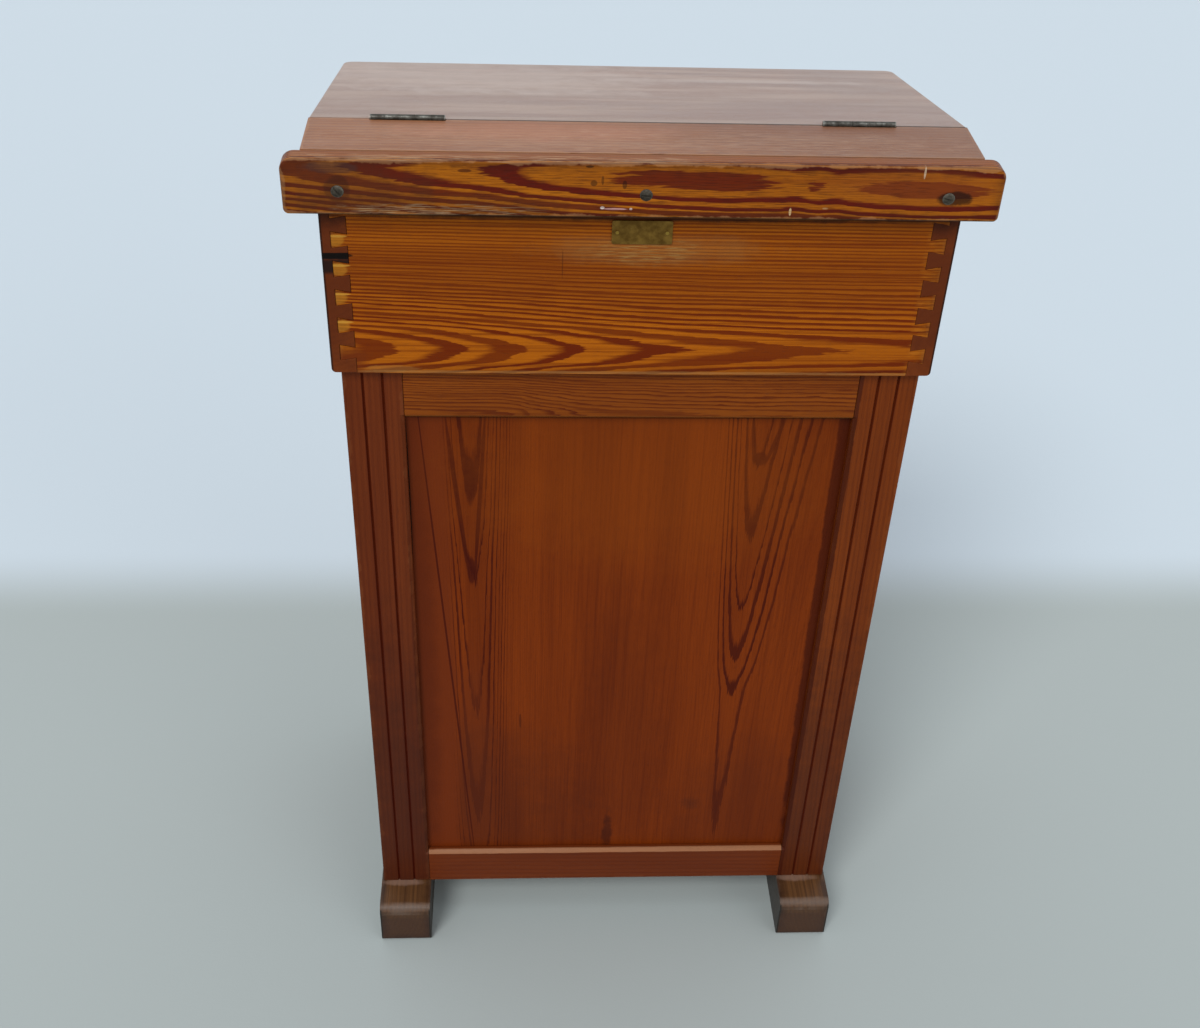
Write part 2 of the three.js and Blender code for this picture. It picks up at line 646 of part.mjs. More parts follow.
function escutcheon() {
  const end = ESCUTCHEON_WIDTH / 2;
  const shape = roundedRectangle(around(keyX, ESCUTCHEON_WIDTH), around(lockZ, ESCUTCHEON_HEIGHT), end, end);
  return prismAlongY(shape, escutcheonY).subtract(keyhole(grown(escutcheonY, OVERCUT)));
}

function lock() {
  const bolt = block([lockEdgeX, lockEdgeX + BOLT_LENGTH], boltY, boltZ);
  const strike = block(strikeX, strikeY, strikeZ).subtract(boltPocket);
  return [
    piece("door_lock_case", lockCase(), materials.iron),
    piece("door_lock_bolt", bolt, materials.steel),
    piece("door_key", key(), materials.steel),
    piece("door_escutcheon", escutcheon(), materials.brass),
    piece("door_strike_plate", strike, materials.iron),
  ];
}

// Door

function door() {
  const made = framedPanel({
    width: doorWidth,
    height: doorHeight,
    thickness: DOOR_THICKNESS,
    topRail: DOOR_TOP_RAIL_HEIGHT,
    bottomRail: DOOR_BOTTOM_RAIL_HEIGHT,
    recess: SIDE_PANEL_RECESS,
    reeds: false,
    frame: standing(Math.PI, doorWidth / 2, halfDepth, doorZ),
  });
  const hingeRecesses = [doorHinges.upper.movingRecess, doorHinges.lower.movingRecess];
  const keyWay = keyhole(grown([doorInnerY, halfDepth], OVERCUT));
  return [
    piece("door_hinge_stile", cutFrom(made.startStile, hingeRecesses), materials.frame),
    piece("door_lock_stile", made.endStile.subtract(keyWay), materials.frame),
    piece("door_top_rail", made.topRail, materials.frame),
    piece("door_bottom_rail", made.bottomRail, materials.frame),
    piece("door_panel", made.panel, materials.panel),
    ...hingePieces("door", doorHinges, "post", "door"),
    ...lock(),
  ];
}

// Screws and plate

const screwZ = topZ - SCREW_DROP;
const screwX = {
  left: -ledgeHalfWidth + SCREW_INSET,
  middle: 0,
  right: ledgeHalfWidth - SCREW_INSET,
};

// A countersunk screw with a low dome, driven in through the ledge. Grown, it is its own hole.
function screwBody(x, by) {
  const profile = [
    [0, -SCREW_DOME - by],
    [SCREW_HEAD_RADIUS - SCREW_SHOULDER + by, -SCREW_RING_RISE - by],
    [SCREW_HEAD_RADIUS + by, 0],
    [SCREW_SHANK_RADIUS + by, SCREW_HEAD_DEPTH + by],
    [SCREW_SHANK_RADIUS + by, SCREW_LENGTH + by],
    [0, SCREW_LENGTH + by],
  ];
  const points = profile.map(([radius, depth]) => new THREE.Vector2(radius, depth));
  return solid(new THREE.LatheGeometry(points, FINE_SIDES).translate(x, ledgeFrontY, screwZ));
}

function screw(which) {
  const x = screwX[which];
  const slot = new THREE.BoxGeometry(4 * SCREW_HEAD_RADIUS, 2 * SCREW_SLOT_DEPTH, SCREW_SLOT_WIDTH);
  slot.rotateY(THREE.MathUtils.degToRad(SCREW_TURNS[which])).translate(x, ledgeFrontY - SCREW_DOME, screwZ);
  return piece(`ledge_screw_${which}`, screwBody(x, 0).subtract(solid(slot)), materials.steel);
}

const screwHoles = Object.values(screwX).map((x) => screwBody(x, FIT));

function brassPlate() {
  const highZ = topZ - LEDGE_HEIGHT - PLATE_DROP;
  const y = [ledgeBackY - PLATE_THICKNESS, ledgeBackY];
  const z = [highZ - PLATE_HEIGHT, highZ];
  const shape = roundedRectangle(around(0, PLATE_WIDTH), z, PLATE_RADIUS, PLATE_RADIUS);
  const pins = [-1, 1].map((side) => {
    const x = side * (PLATE_WIDTH / 2 - PLATE_PIN_INSET);
    return barAlongY(PLATE_PIN_RADIUS, [y[0] - PLATE_PIN_RISE, y[1]], [x, (z[0] + z[1]) / 2], SMALL_SIDES);
  });
  return joined([prismAlongY(shape, y), ...pins]);
}

// Desk box

// Height of the lid's underside over a point of the desk box.
function lidUndersideZ(y) {
  return topZ - TOP_THICKNESS / Math.cos(LID_SLOPE) - (y - seamY) * Math.tan(LID_SLOPE);
}

const boxRearHeight = lidUndersideZ(boxRearY) - FIT - boxZ;
const boxFloorX = grown([-boxInnerX, boxInnerX], BOX_FLOOR_HOUSING);
const boxFloorY = grown([boxFrontSpan[1], boxRearSpan[0]], BOX_FLOOR_HOUSING);
const boxFloorZ = [boxZ + BOX_FLOOR_RISE, boxZ + BOX_FLOOR_RISE + BOX_FLOOR_THICKNESS];
const boxFloorGroove = block(grown(boxFloorX, FIT), grown(boxFloorY, FIT), grown(boxFloorZ, FIT));

// The tails at both ends of a front or rear board, from the lowest up, short of the sides' outer faces.
function tails(height, y, by) {
  const room = height - 2 * END_PIN - TAIL_WIDTH;
  const count = Math.floor(room / TAIL_PITCH) + 1;
  const narrow = TAIL_WIDTH / 2 - TAIL_FLARE + by;
  const wide = TAIL_WIDTH / 2 + TAIL_FLARE + by;
  const solids = [];
  for (let i = 0; i < count; i += 1) {
    const z = boxZ + END_PIN + TAIL_WIDTH / 2 + i * TAIL_PITCH;
    for (const side of [-1, 1]) {
      const rootX = side * (boxInnerX - OVERCUT);
      const tipX = side * (boxInnerX + TAIL_LENGTH + by);
      const shape = outline([[rootX, z - narrow], [tipX, z - wide], [tipX, z + wide], [rootX, z + narrow]]);
      solids.push(prismAlongY(shape, y));
    }
  }
  return solids;
}

// What wear has taken off the lower outer edge of a side.
function edgeWaste(side) {
  const y = grown([boxFrontY, boxRearY], OVERCUT);
  const centreX = side * (boxHalfWidth - BOX_EDGE_RADIUS);
  const centreZ = boxZ + BOX_EDGE_RADIUS;
  const corner = block(ordered(centreX, side * (boxHalfWidth + OVERCUT)), y, [boxZ - OVERCUT, centreZ]);
  return corner.subtract(barAlongY(BOX_EDGE_RADIUS, grown(y, OVERCUT), [centreX, centreZ], FINE_SIDES));
}

// A side is level under the strip, then slopes with the lid. It holds the sockets for the tails.
function boxSide(side) {
  const levelZ = stripZ - FIT;
  const kneeY = seamY + (lidUndersideZ(seamY) - stripZ) / Math.tan(LID_SLOPE);
  const profile = outline([
    [boxFrontY, boxZ],
    [boxRearY, boxZ],
    [boxRearY, boxZ + boxRearHeight],
    [kneeY, levelZ],
    [boxFrontY, levelZ],
  ]);
  const sockets = [
    ...tails(BOX_HEIGHT, grown(boxFrontSpan, FIT), FIT),
    ...tails(boxRearHeight, grown(boxRearSpan, FIT), FIT),
  ];
  const bare = prismAlongX(profile, ordered(side * boxInnerX, side * boxHalfWidth));
  return cutFrom(bare, [...sockets, boxFloorGroove, ...screwHoles, edgeWaste(side)]);
}

function deskBox() {
  const boardX = grown([-boxInnerX, boxInnerX], -FIT);
  const rearProfile = outline([
    [boxRearSpan[0], boxZ],
    [boxRearSpan[1], boxZ],
    [boxRearSpan[1], lidUndersideZ(boxRearSpan[1]) - FIT],
    [boxRearSpan[0], lidUndersideZ(boxRearSpan[0]) - FIT],
  ]);
  const frontBoard = block(boardX, boxFrontSpan, [boxZ, boxZ + BOX_HEIGHT]);
  const front = joined([frontBoard, ...tails(BOX_HEIGHT, boxFrontSpan, 0)]);
  const rear = joined([prismAlongX(rearProfile, boardX), ...tails(boxRearHeight, boxRearSpan, 0)]);
  return [
    piece("box_front", cutFrom(front, [boxFloorGroove, ...screwHoles]), materials.box),
    piece("box_rear", rear.subtract(boxFloorGroove), materials.box),
    piece("box_left_side", boxSide(-1), materials.box),
    piece("box_right_side", boxSide(1), materials.box),
    piece("box_floor", block(boxFloorX, boxFloorY, boxFloorZ), materials.inside),
    piece("brass_plate", brassPlate(), materials.brass),
  ];
}

// Strip and ledge

function fixedTop() {
  const strip = block([-topHalfWidth, topHalfWidth], [boxFrontY, seamY - SEAM / 2], [stripZ, topZ]);
  const ledgeX = around(0, 2 * ledgeHalfWidth);
  const ledgeZ = [topZ - LEDGE_HEIGHT, topZ];
  const ledgeShape = roundedRectangle(ledgeX, ledgeZ, LEDGE_BOTTOM_RADIUS, LEDGE_TOP_RADIUS);
  const ledge = prismAlongY(ledgeShape, [ledgeFrontY, ledgeBackY], LEDGE_ARRIS);
  const hingeRecesses = [lidHinges.left.fixedRecess, lidHinges.right.fixedRecess];
  return [
    piece("top_strip", cutFrom(strip, hingeRecesses), materials.top),
    piece("ledge_board", cutFrom(ledge, screwHoles), materials.ledge),
    ...Object.keys(screwX).map(screw),
  ];
}

// Lid

// From the lid's own axes, with Y down its slope and Z square to it, to its place when closed.
const lidFrame = new THREE.Matrix4()
  .makeTranslation(0, seamY, topZ)
  .multiply(new THREE.Matrix4().makeRotationX(-LID_SLOPE));

// The slab starts short of the seam, where it is cut off upright.
function lidBoard() {
  const start = -TOP_THICKNESS - LID_CORNER_RADIUS;
  const length = (boxRearY + LID_REAR_OVERHANG - seamY) / Math.cos(LID_SLOPE);
  const radius = LID_CORNER_RADIUS;
  const shape = roundedRectangle([-topHalfWidth, topHalfWidth], [start, length], radius, radius);
  const geometry = drawnOut(shape, TOP_THICKNESS, LID_ARRIS).translate(0, 0, -TOP_THICKNESS);
  const beyondSeam = block(
    grown([-topHalfWidth, topHalfWidth], OVERCUT),
    [seamY + 2 * start, seamY + SEAM / 2],
    grown([stripZ, topZ], TOP_THICKNESS),
  );
  const hingeRecesses = [lidHinges.left.movingRecess, lidHinges.right.movingRecess];
  return cutFrom(solid(geometry, lidFrame), [beyondSeam, ...hingeRecesses]);
}

function batten(side) {
  const end = (boxRearSpan[0] - BATTEN_REAR_GAP - seamY) / Math.cos(LID_SLOPE);
  const highZ = -TOP_THICKNESS - FIT;
  const x = around(side * BATTEN_SPREAD, BATTEN_WIDTH);
  return block(x, [BATTEN_FRONT_GAP, end], [highZ - BATTEN_THICKNESS, highZ], lidFrame);
}

function lid() {
  return [
    piece("lid", lidBoard(), materials.top),
    piece("lid_batten_left", batten(-1), materials.inside),
    piece("lid_batten_right", batten(1), materials.inside),
    ...hingePieces("lid", lidHinges, "strip", "lid"),
  ];
}

const desk = new THREE.Group();
desk.add(
  piece("foot_left", foot(-1), materials.foot),
  piece("foot_right", foot(1), materials.foot),
  ...frontFrame(),
  ...sideFrame(-1, [strikeBed, boltPocket]),
  ...sideFrame(1, [doorHinges.upper.fixedRecess, doorHinges.lower.fixedRecess]),
  piece("rear_top_rail", rearRail("top"), materials.frame),
  piece("rear_bottom_rail", rearRail("bottom"), materials.frame),
  piece("cabinet_floor", block(floorX, floorY, floorZ), materials.inside),
  ...shelf(),
  ...door(),
  ...deskBox(),
  ...fixedTop(),
  ...lid(),
);

export default desk;
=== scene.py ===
import math
import random
from dataclasses import dataclass, replace

import bmesh
import bpy
from mathutils import Matrix, Vector


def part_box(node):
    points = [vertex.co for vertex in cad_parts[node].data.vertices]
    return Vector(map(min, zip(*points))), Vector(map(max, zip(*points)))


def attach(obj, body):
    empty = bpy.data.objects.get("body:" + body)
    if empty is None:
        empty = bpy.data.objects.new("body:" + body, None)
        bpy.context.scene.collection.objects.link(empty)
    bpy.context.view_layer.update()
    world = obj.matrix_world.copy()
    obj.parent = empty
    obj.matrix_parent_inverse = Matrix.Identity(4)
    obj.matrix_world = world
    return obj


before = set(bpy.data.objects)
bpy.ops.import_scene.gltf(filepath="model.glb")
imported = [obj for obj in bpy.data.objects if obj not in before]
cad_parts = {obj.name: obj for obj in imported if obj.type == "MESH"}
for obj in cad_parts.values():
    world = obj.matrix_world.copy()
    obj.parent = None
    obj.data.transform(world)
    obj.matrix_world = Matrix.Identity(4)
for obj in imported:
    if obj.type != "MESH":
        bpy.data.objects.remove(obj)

MM = 0.001
LID_SLOPE = math.radians(12)

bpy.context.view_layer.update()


# Camera, as fitted to the photograph

CAMERA_PLACE = (-0.1158, -1.4489, 1.6653)
CAMERA_TURN = (3.967, 37.708, 2.478)        # degrees: to the right, down, and about its own axis
CAMERA_LENS = 44.82                         # millimetres, on a sensor 36 wide
SENSOR_WIDTH = 36


def make_camera():
    """The camera at the place and the angle that the photograph was taken from."""
    yaw, pitch, roll = (math.radians(angle) for angle in CAMERA_TURN)
    forward = Vector((math.sin(yaw) * math.cos(pitch), math.cos(yaw) * math.cos(pitch), -math.sin(pitch)))
    level_right = Vector((math.cos(yaw), -math.sin(yaw), 0))
    level_up = level_right.cross(forward)
    right = level_right * math.cos(roll) + level_up * math.sin(roll)
    up = level_up * math.cos(roll) - level_right * math.sin(roll)
    data = bpy.data.cameras.new("camera")
    data.sensor_width = SENSOR_WIDTH
    data.lens = CAMERA_LENS
    data.clip_end = 50
    camera = bpy.data.objects.new("camera", data)
    turn = Matrix((right, up, -forward)).transposed().to_4x4()
    camera.matrix_world = Matrix.Translation(CAMERA_PLACE) @ turn
    bpy.context.scene.collection.objects.link(camera)
    bpy.context.scene.camera = camera


# Node trees

# Which sockets of a Mix node are for colours
MIX_FACTOR, MIX_ONE, MIX_OTHER = 0, 6, 7
MIX_COLOUR = 2


def colour(code):
    """The linear colour of an sRGB hex code."""
    parts = [int(code[i:i + 2], 16) / 255 for i in (0, 2, 4)]
    return tuple(((c + 0.055) / 1.055) ** 2.4 if c > 0.04045 else c / 12.92 for c in parts) + (1.0,)


class Value:
    """A number that varies over a surface. Arithmetic with it adds nodes to its material."""

    def __init__(self, net, socket):
        self.net = net
        self.socket = socket

    def __add__(self, other):
        return self.net.math("ADD", self, other)

    def __radd__(self, other):
        return self.net.math("ADD", other, self)

    def __sub__(self, other):
        return self.net.math("SUBTRACT", self, other)

    def __rsub__(self, other):
        return self.net.math("SUBTRACT", other, self)

    def __mul__(self, other):
        return self.net.math("MULTIPLY", self, other)

    def __truediv__(self, other):
        return self.net.math("DIVIDE", self, other)


class Net:
    """The node tree of one material, and short ways to add to it."""

    def __init__(self, name):
        self.material = bpy.data.materials.new(name)
        self.material.use_nodes = True
        self.nodes = self.material.node_tree.nodes
        self.links = self.material.node_tree.links
        self.nodes.clear()
        place = self.add("SeparateXYZ", {"Vector": self.add("TexCoord").outputs["Object"]})
        self.place = [Value(self, socket) for socket in place.outputs]

    def add(self, kind, inputs=None, **settings):
        node = self.nodes.new("ShaderNode" + kind)
        for key, value in settings.items():
            setattr(node, key, value)
        for key, value in (inputs or {}).items():
            value = getattr(value, "socket", value)
            if isinstance(value, bpy.types.NodeSocket):
                self.links.new(value, node.inputs[key])
            else:
                node.inputs[key].default_value = value
        return node

    def math(self, operation, *values):
        return Value(self, self.add("Math", dict(enumerate(values)), operation=operation).outputs[0])

    def least(self, *values):
        least = values[0]
        for value in values[1:]:
            least = self.math("MINIMUM", least, value)
        return least

    def clamped(self, value):
        return Value(self, self.add("Clamp", {"Value": value}).outputs[0])

    def ramp(self, value, start, end, low=0.0, high=1.0):
        """From low at start to high at end, smoothly."""
        inputs = {"Value": value, "From Min": start, "From Max": end, "To Min": low, "To Max": high}
        return Value(self, self.add("MapRange", inputs, interpolation_type="SMOOTHSTEP").outputs[0])

    def noise(self, vector, detail, roughness):
        inputs = {"Vector": vector, "Scale": 1.0, "Detail": detail, "Roughness": roughness}
        return Value(self, self.add("TexNoise", inputs).outputs["Fac"])

    def grain(self, spot, coarse, fine, detail=2.0, roughness=0.5):
        """Noise drawn out along the grain. `spot` is a place along and across a board, and under its face."""
        along, across, under = spot
        return self.noise(self.vector(along * coarse, across * fine, under * fine), detail, roughness)

    def speckle(self, fine, detail=2.0, roughness=0.5):
        """Noise that is alike in every direction."""
        return self.noise(self.vector(*[p * fine for p in self.place]), detail, roughness)

    def scatter(self, value):
        """A random number from 0 to 1 for each whole number."""
        return Value(self, self.add("TexWhiteNoise", {"W": value}, noise_dimensions="1D").outputs["Value"])

    def vector(self, x, y, z):
        return self.add("CombineXYZ", {"X": x, "Y": y, "Z": z}).outputs[0]

    def curve(self, value, points):
        """A smooth line through points."""
        places = [place for place, _ in points]
        heights = [height for _, height in points]
        lowest, reach = min(heights), max(heights) - min(heights)
        start, span = places[0], places[-1] - places[0]
        node = self.add("FloatCurve", {"Value": (value - start) / span})
        line = node.mapping.curves[0]
        while len(line.points) < len(points):
            line.points.new(0.5, 0.5)
        for point, (place, height) in zip(line.points, points):
            point.location = ((place - start) / span, (height - lowest) / reach)
        node.mapping.extend = "EXTRAPOLATED"
        node.mapping.update()
        return Value(self, node.outputs[0]) * reach + lowest

    def mix(self, factor, one, other):
        """From one colour at factor 0 to another at 1."""
        inputs = {MIX_FACTOR: factor, MIX_ONE: one, MIX_OTHER: other}
        return self.add("Mix", inputs, data_type="RGBA", clamp_factor=True).outputs[MIX_COLOUR]

    def surface(self, base, roughness, height, depth, specular=0.5, sheen=0.0, metallic=0.0):
        bump = self.add("Bump", {"Height": height, "Distance": depth, "Strength": 1.0})
        shader = self.add("BsdfPrincipled", {
            "Base Color": base,
            "Roughness": roughness,
            "Metallic": metallic,
            "Specular IOR Level": specular,
            "Sheen Weight": sheen,
            "Sheen Roughness": 0.4,
            "Normal": bump.outputs[0],
        })
        self.add("OutputMaterial", {"Surface": shader.outputs[0]})
        return self.material


# Wood

@dataclass
class Rings:
    """How a tree's growth rings lie in a board. Places are metres along and across the board."""
    middle: float               # where across the board the tree's middle runs under its face
    depth: float                # how far under
    near: float                 # width of a ring over the middle
    along: tuple                # places along the middle, each with the ring that surfaces there
    far: float = None           # width of a ring away from the middle, where it differs
    settle: float = 0.02        # how far from the middle the one width turns into the other
    level: float = 10.0         # how far from the middle the rings still slant
    drift: float = 0.0          # how much the middle runs askew
    spread: float = 0.0         # how much they spread out on one side: the far side where above 0
    wobble: float = 0.25        # how far the rings stray, in rings
    feather: float = 0.16       # how ragged the edges of the late wood are, in rings
    uneven: float = 0.1         # how much the rings' widths differ, in rings
    strength: float = 1.0       # how much they show
    last: float = 1000.0        # the ring past which they fade
    fading: float = 3.0         # over how many rings
    rest: float = 0.1           # what is left of them
    border: float = 0.0         # where the next board of the same panel starts

    def field(self, net, spot):
        """The number of the ring at a place, with its part as a fraction, and how strongly it shows."""
        along, across, under = spot
        stray = net.grain(spot, 9, 26, 3.0) - 0.5
        brush = net.grain(spot, 16, 170, 3.0) - 0.5
        feather = net.grain(spot, 45, 700) - 0.5
        uneven = net.grain(spot, 1.2, 75, 1.0) - 0.5
        off = across - along * self.drift - self.middle
        if self.spread:
            off = off / (net.math("MAXIMUM", off * self.spread, 0.0) + 1)
        low = under + self.depth
        away = net.math("SQRT", off * off + low * low) - self.depth
        if self.far:
            loss = (1 / self.near - 1 / self.far) * self.settle
            count = away / self.far + (1 - net.math("EXPONENT", away / -self.settle)) * loss
        else:
            count = away / self.near
        slant = away / self.level
        surfaced = net.curve(along, self.along) / (slant * slant + 1)
        number = count + surfaced + stray * (2 * self.wobble) + uneven * (2 * self.uneven)
        number = number + (feather + brush) * (2 * self.feather)
        faint = self.strength * self.rest
        return number, net.ramp(number, self.last, self.last + self.fading, self.strength, faint)


@dataclass
class Mark:
    """A stain, chip or fleck round one place of a board's face: its middle and half its size, in metres."""
    middle: tuple
    size: tuple
    colour: str
    strength: float = 1.0
    ragged: float = 0.5
    soft: float = 0.3
    scratchy: bool = False
    lean: float = 0.0           # how much it runs askew
    depth: tuple = (0.0, 0.005)     # how far under the face it starts and ends

    def mask(self, net, spot, patch):
        """How much of the mark a place shows. `patch` is the noise that frays its outline."""
        along, across, under = spot
        u = (along - self.middle[0]) / self.size[0]
        v = (across - self.middle[1] - (along - self.middle[0]) * self.lean) / self.size[1]
        reach = u * u + v * v + (patch - 0.5) * 4 * self.ragged
        mask = net.ramp(reach, 0.9 - self.soft, 0.9 + self.soft, self.strength, 0.0)
        if self.scratchy:
            mask = mask * net.ramp(net.grain(spot, 45, 1100, 3.0), 0.5, 0.6)
        start, end = self.depth
        if start > 0:
            mask = mask * net.ramp(under, start - MM, start + MM)
        if end < math.inf:
            mask = mask * net.ramp(under, end, end + MM, 1.0, 0.0)
        return mask


@dataclass
class Finish:
    """The colours of a board, and how it has aged."""
    early: str
    late: str
    worn: str
    contrast: float = 1.0       # between the early and the late wood
    wear: float = 0.5           # of the arrises
    grime: float = 0.5          # next to them
    roughness: float = 0.4
    specular: float = 0.14
    turn: float = 0.45          # where in a ring the late wood starts
    blend: float = 0.25         # how gradually
    streaks: float = 0.3        # of darker grain, finer than the rings
    variety: float = 0.4        # in how dark the rings are
    thin: float = 0.0           # how much thinner the late wood is where the rings fade
    sheen: float = 0.0          # of dust and old wax, seen at a slant
    ends: float = 0.6           # how much darker the end grain is
    sheen_bands: float = 0.0         # of its paler bands: painted sheen, standing in for the uneven sheen of dust and old wax


NEXT_BOARD = 17     # added to the rings' numbers past a panel's first board, so that their shades differ
TURN_SPREAD = 0.3   # how much the rings differ in where their late wood starts


def board_material(name, finish, layouts, outward, marks, slope):
    """Pitch pine for one board. `outward` is +1 or -1: the side of its thickness that shows."""
    net = Net(name)
    low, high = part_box(name)
    spot = board_spot(net, name, outward, slope)
    late, strength = late_wood(net, spot, finish, layouts)
    fibre = net.grain(spot, 14, 1100, 3.0, 0.6)
    dashes = net.ramp(net.grain(spot, 90, 1500, 1.0), 0.6, 0.72)
    streak = net.grain(spot, 3, 330, 2.0, 0.55)
    tone = net.grain(spot, 1.6, 16)
    patch = net.speckle(38, 4.0, 0.65)

    # The wood as it grew, with painted sheen in paler bands on the face, and its end grain
    early, dark = colour(finish.early), colour(finish.late)
    base = net.mix(late * strength * finish.contrast, early, dark)
    base = net.mix(net.ramp(streak, 0.45, 0.7, 0.0, finish.streaks), base, dark)
    base = net.mix(net.ramp(fibre, 0.4, 0.75, 0.0, 0.25), base, dark)
    base = net.mix(dashes * 0.18, base, colour(DIRT))
    base = net.mix(net.ramp(tone, 0.35, 0.7, 0.0, 0.35), base, dark)
    # Paler bands on the face: painted sheen, for the uneven sheen of dust and old wax
    if finish.sheen_bands:
        band = net.ramp(net.grain(spot, 4, 40, 3.0), 0.38, 0.66, 0.0, finish.sheen_bands)
        _, _, under = spot
        base = net.mix(band * net.ramp(under, 2 * MM, 6 * MM, 1.0, 0.0), base, colour(SHEEN_BAND_COLOUR))
    length = board_axes(name)[0]
    to_end = net.least(net.place[length] - low[length], high[length] - net.place[length])
    base = net.mix(net.ramp(to_end, 0.3 * MM, 0.9 * MM, finish.ends, 0.0), base, dark)

    # Dirt next to the arrises, bare wood on them, and the marks
    arris = arris_distance(net, low, high)
    grime = net.ramp(arris + patch * 0.016, 0.006, 0.022, finish.grime, 0.0)
    base = net.mix(grime, base, colour(DIRT))
    wear = net.ramp(arris - (patch - 0.42) * 0.014, 0.0004, 0.0022, finish.wear, 0.0)
    base = net.mix(wear, base, colour(finish.worn))
    for mark in marks:
        base = net.mix(mark.mask(net, spot, patch), base, colour(mark.colour))

    roughness = fibre * 0.1 + patch * 0.14 + wear * 0.2 + (finish.roughness - 0.12)
    height = late * 0.25 + fibre * 0.35 + patch * 0.5 - dashes * 0.3
    return net.surface(base, roughness, height, 0.25 * MM, finish.specular, finish.sheen)


def board_spot(net, name, outward, slope):
    """Where a place lies along and across a board, and how far under the face that shows."""
    low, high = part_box(name)
    length, width, thickness = board_axes(name)
    place = list(net.place)
    face = high[thickness] if outward > 0 else low[thickness]
    if slope:
        _, y, z = place
        place[1] = y * math.cos(slope) - z * math.sin(slope)
        place[2] = y * math.sin(slope) + z * math.cos(slope)
        face = low[1] * math.sin(slope) + high[2] * math.cos(slope)
    under = (face - place[thickness]) if outward > 0 else (place[thickness] - face)
    return place[length], place[width], under


def late_wood(net, spot, finish, layouts):
    """How much late wood a place has, and how strongly the rings show there."""
    _, across, _ = spot
    number, strength = layouts[0].field(net, spot)
    for before, layout in zip(layouts, layouts[1:]):
        beyond = net.math("GREATER_THAN", across, before.border)
        next_number, next_strength = layout.field(net, spot)
        number = number + (next_number + NEXT_BOARD - number) * beyond
        strength = strength + (next_strength - strength) * beyond
    ring = net.math("FLOOR", number)
    part = number - ring
    chance = net.scatter(ring)
    start = finish.turn - TURN_SPREAD / 2 + chance * TURN_SPREAD + (1 - strength) * finish.thin
    rise = net.clamped((part - start) / finish.blend)
    fall = net.ramp(part, 0.95, 1.0, 1.0, 0.0)
    return rise * fall * (chance * finish.variety + (1 - finish.variety)), strength


def board_axes(name):
    """The axes of a board's length, width and thickness. A square one is as wide as it runs along X."""
    low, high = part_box(name)
    return sorted(range(3), key=lambda i: round(low[i] - high[i], 4))


def arris_distance(net, low, high):
    """On the surface of a box, how far the nearest of its edges is."""
    spans = [net.least(p - low[i], high[i] - p) for i, p in enumerate(net.place)]
    smaller = net.math("MINIMUM", spans[0], spans[1])
    larger = net.math("MAXIMUM", spans[0], spans[1])
    return net.math("MAXIMUM", smaller, net.math("MINIMUM", larger, spans[2]))


def plain_rings(name):
    """Rings as they fall in a board that the photograph doesn't show."""
    chance = random.Random(name)
    low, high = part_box(name)
    length, width, _ = board_axes(name)
    breadth = high[width] - low[width]
    centre = (high[width] + low[width]) / 2
    narrow = breadth < 0.08
    middle = centre + breadth * chance.choice([-2.2, 2.4] if narrow else [-0.35, 0.1, 0.3])
    run = chance.choice([-1, 1]) * chance.uniform(2, 4 if narrow else 9)
    return Rings(
        middle=middle, depth=chance.uniform(0.006, 0.02), near=0.013, far=chance.uniform(0.005, 0.008),
        settle=0.03, along=((low[length], 0.0), (high[length], run * (high[length] - low[length]))),
        level=0.09, drift=chance.uniform(-0.03, 0.03),
    )


# Colours that several boards share, and the finishes
DIRT = "22110a"
# The pale colour of the painted sheen bands on the lid and the top strip
SHEEN_BAND_COLOUR = "c4a890"
BLACK = "0c0604"
PANEL_LATE = "400e04"

LEDGE = Finish("b4680c", "581004", "b98a5c", wear=0.3, grime=0.45, roughness=0.36, specular=0.12,
               turn=0.3, blend=0.16, variety=0.15)
BOX = Finish("b05f0a", "641e02", "b57a3e", wear=0.1, grime=0.3, specular=0.08, turn=0.38, blend=0.2,
             variety=0.2, thin=0.4, streaks=0.55)
BOX_END = Finish("8a4816", "5c2c0c", "a8703c", wear=0.08, grime=0.15, specular=0.1, ends=0.35)
RAIL = Finish("8a460d", "561c04", "a06a3c", contrast=0.95, wear=0.05, grime=0.1, specular=0.1, turn=0.45,
              blend=0.3, streaks=0.5)
FRAME = Finish("6c2f10", "481606", "9c6238", contrast=0.3, wear=0.1, grime=0.1, specular=0.1, streaks=0.15)
FRAME_RIGHT = replace(FRAME, early="7a370c")
PANEL = Finish("7b3207", PANEL_LATE, "8a5030", wear=0.0, grime=0.0, turn=0.66, blend=0.16, specular=0.07,
               streaks=0.22, variety=0.15)
TOP = Finish("925a2e", "764024", "b98c6a", contrast=0.6, wear=0.3, grime=0.1, specular=0.5, sheen=0.1,
             sheen_bands=0.1)
LID = Finish("8e5f40", "6e4830", "a88468", contrast=0.7, wear=0.3, grime=0.1, specular=0.5, sheen=0.31,
             sheen_bands=0.28)
FOOT = Finish("644224", "3c2412", "7c6250", contrast=0.5, wear=0.12, grime=0.75, roughness=0.42, specular=0.3,
              streaks=0.5)
INSIDE = Finish("a97a48", "84542c", "b88c5c", contrast=0.8, wear=0.1, grime=0.2, roughness=0.6)

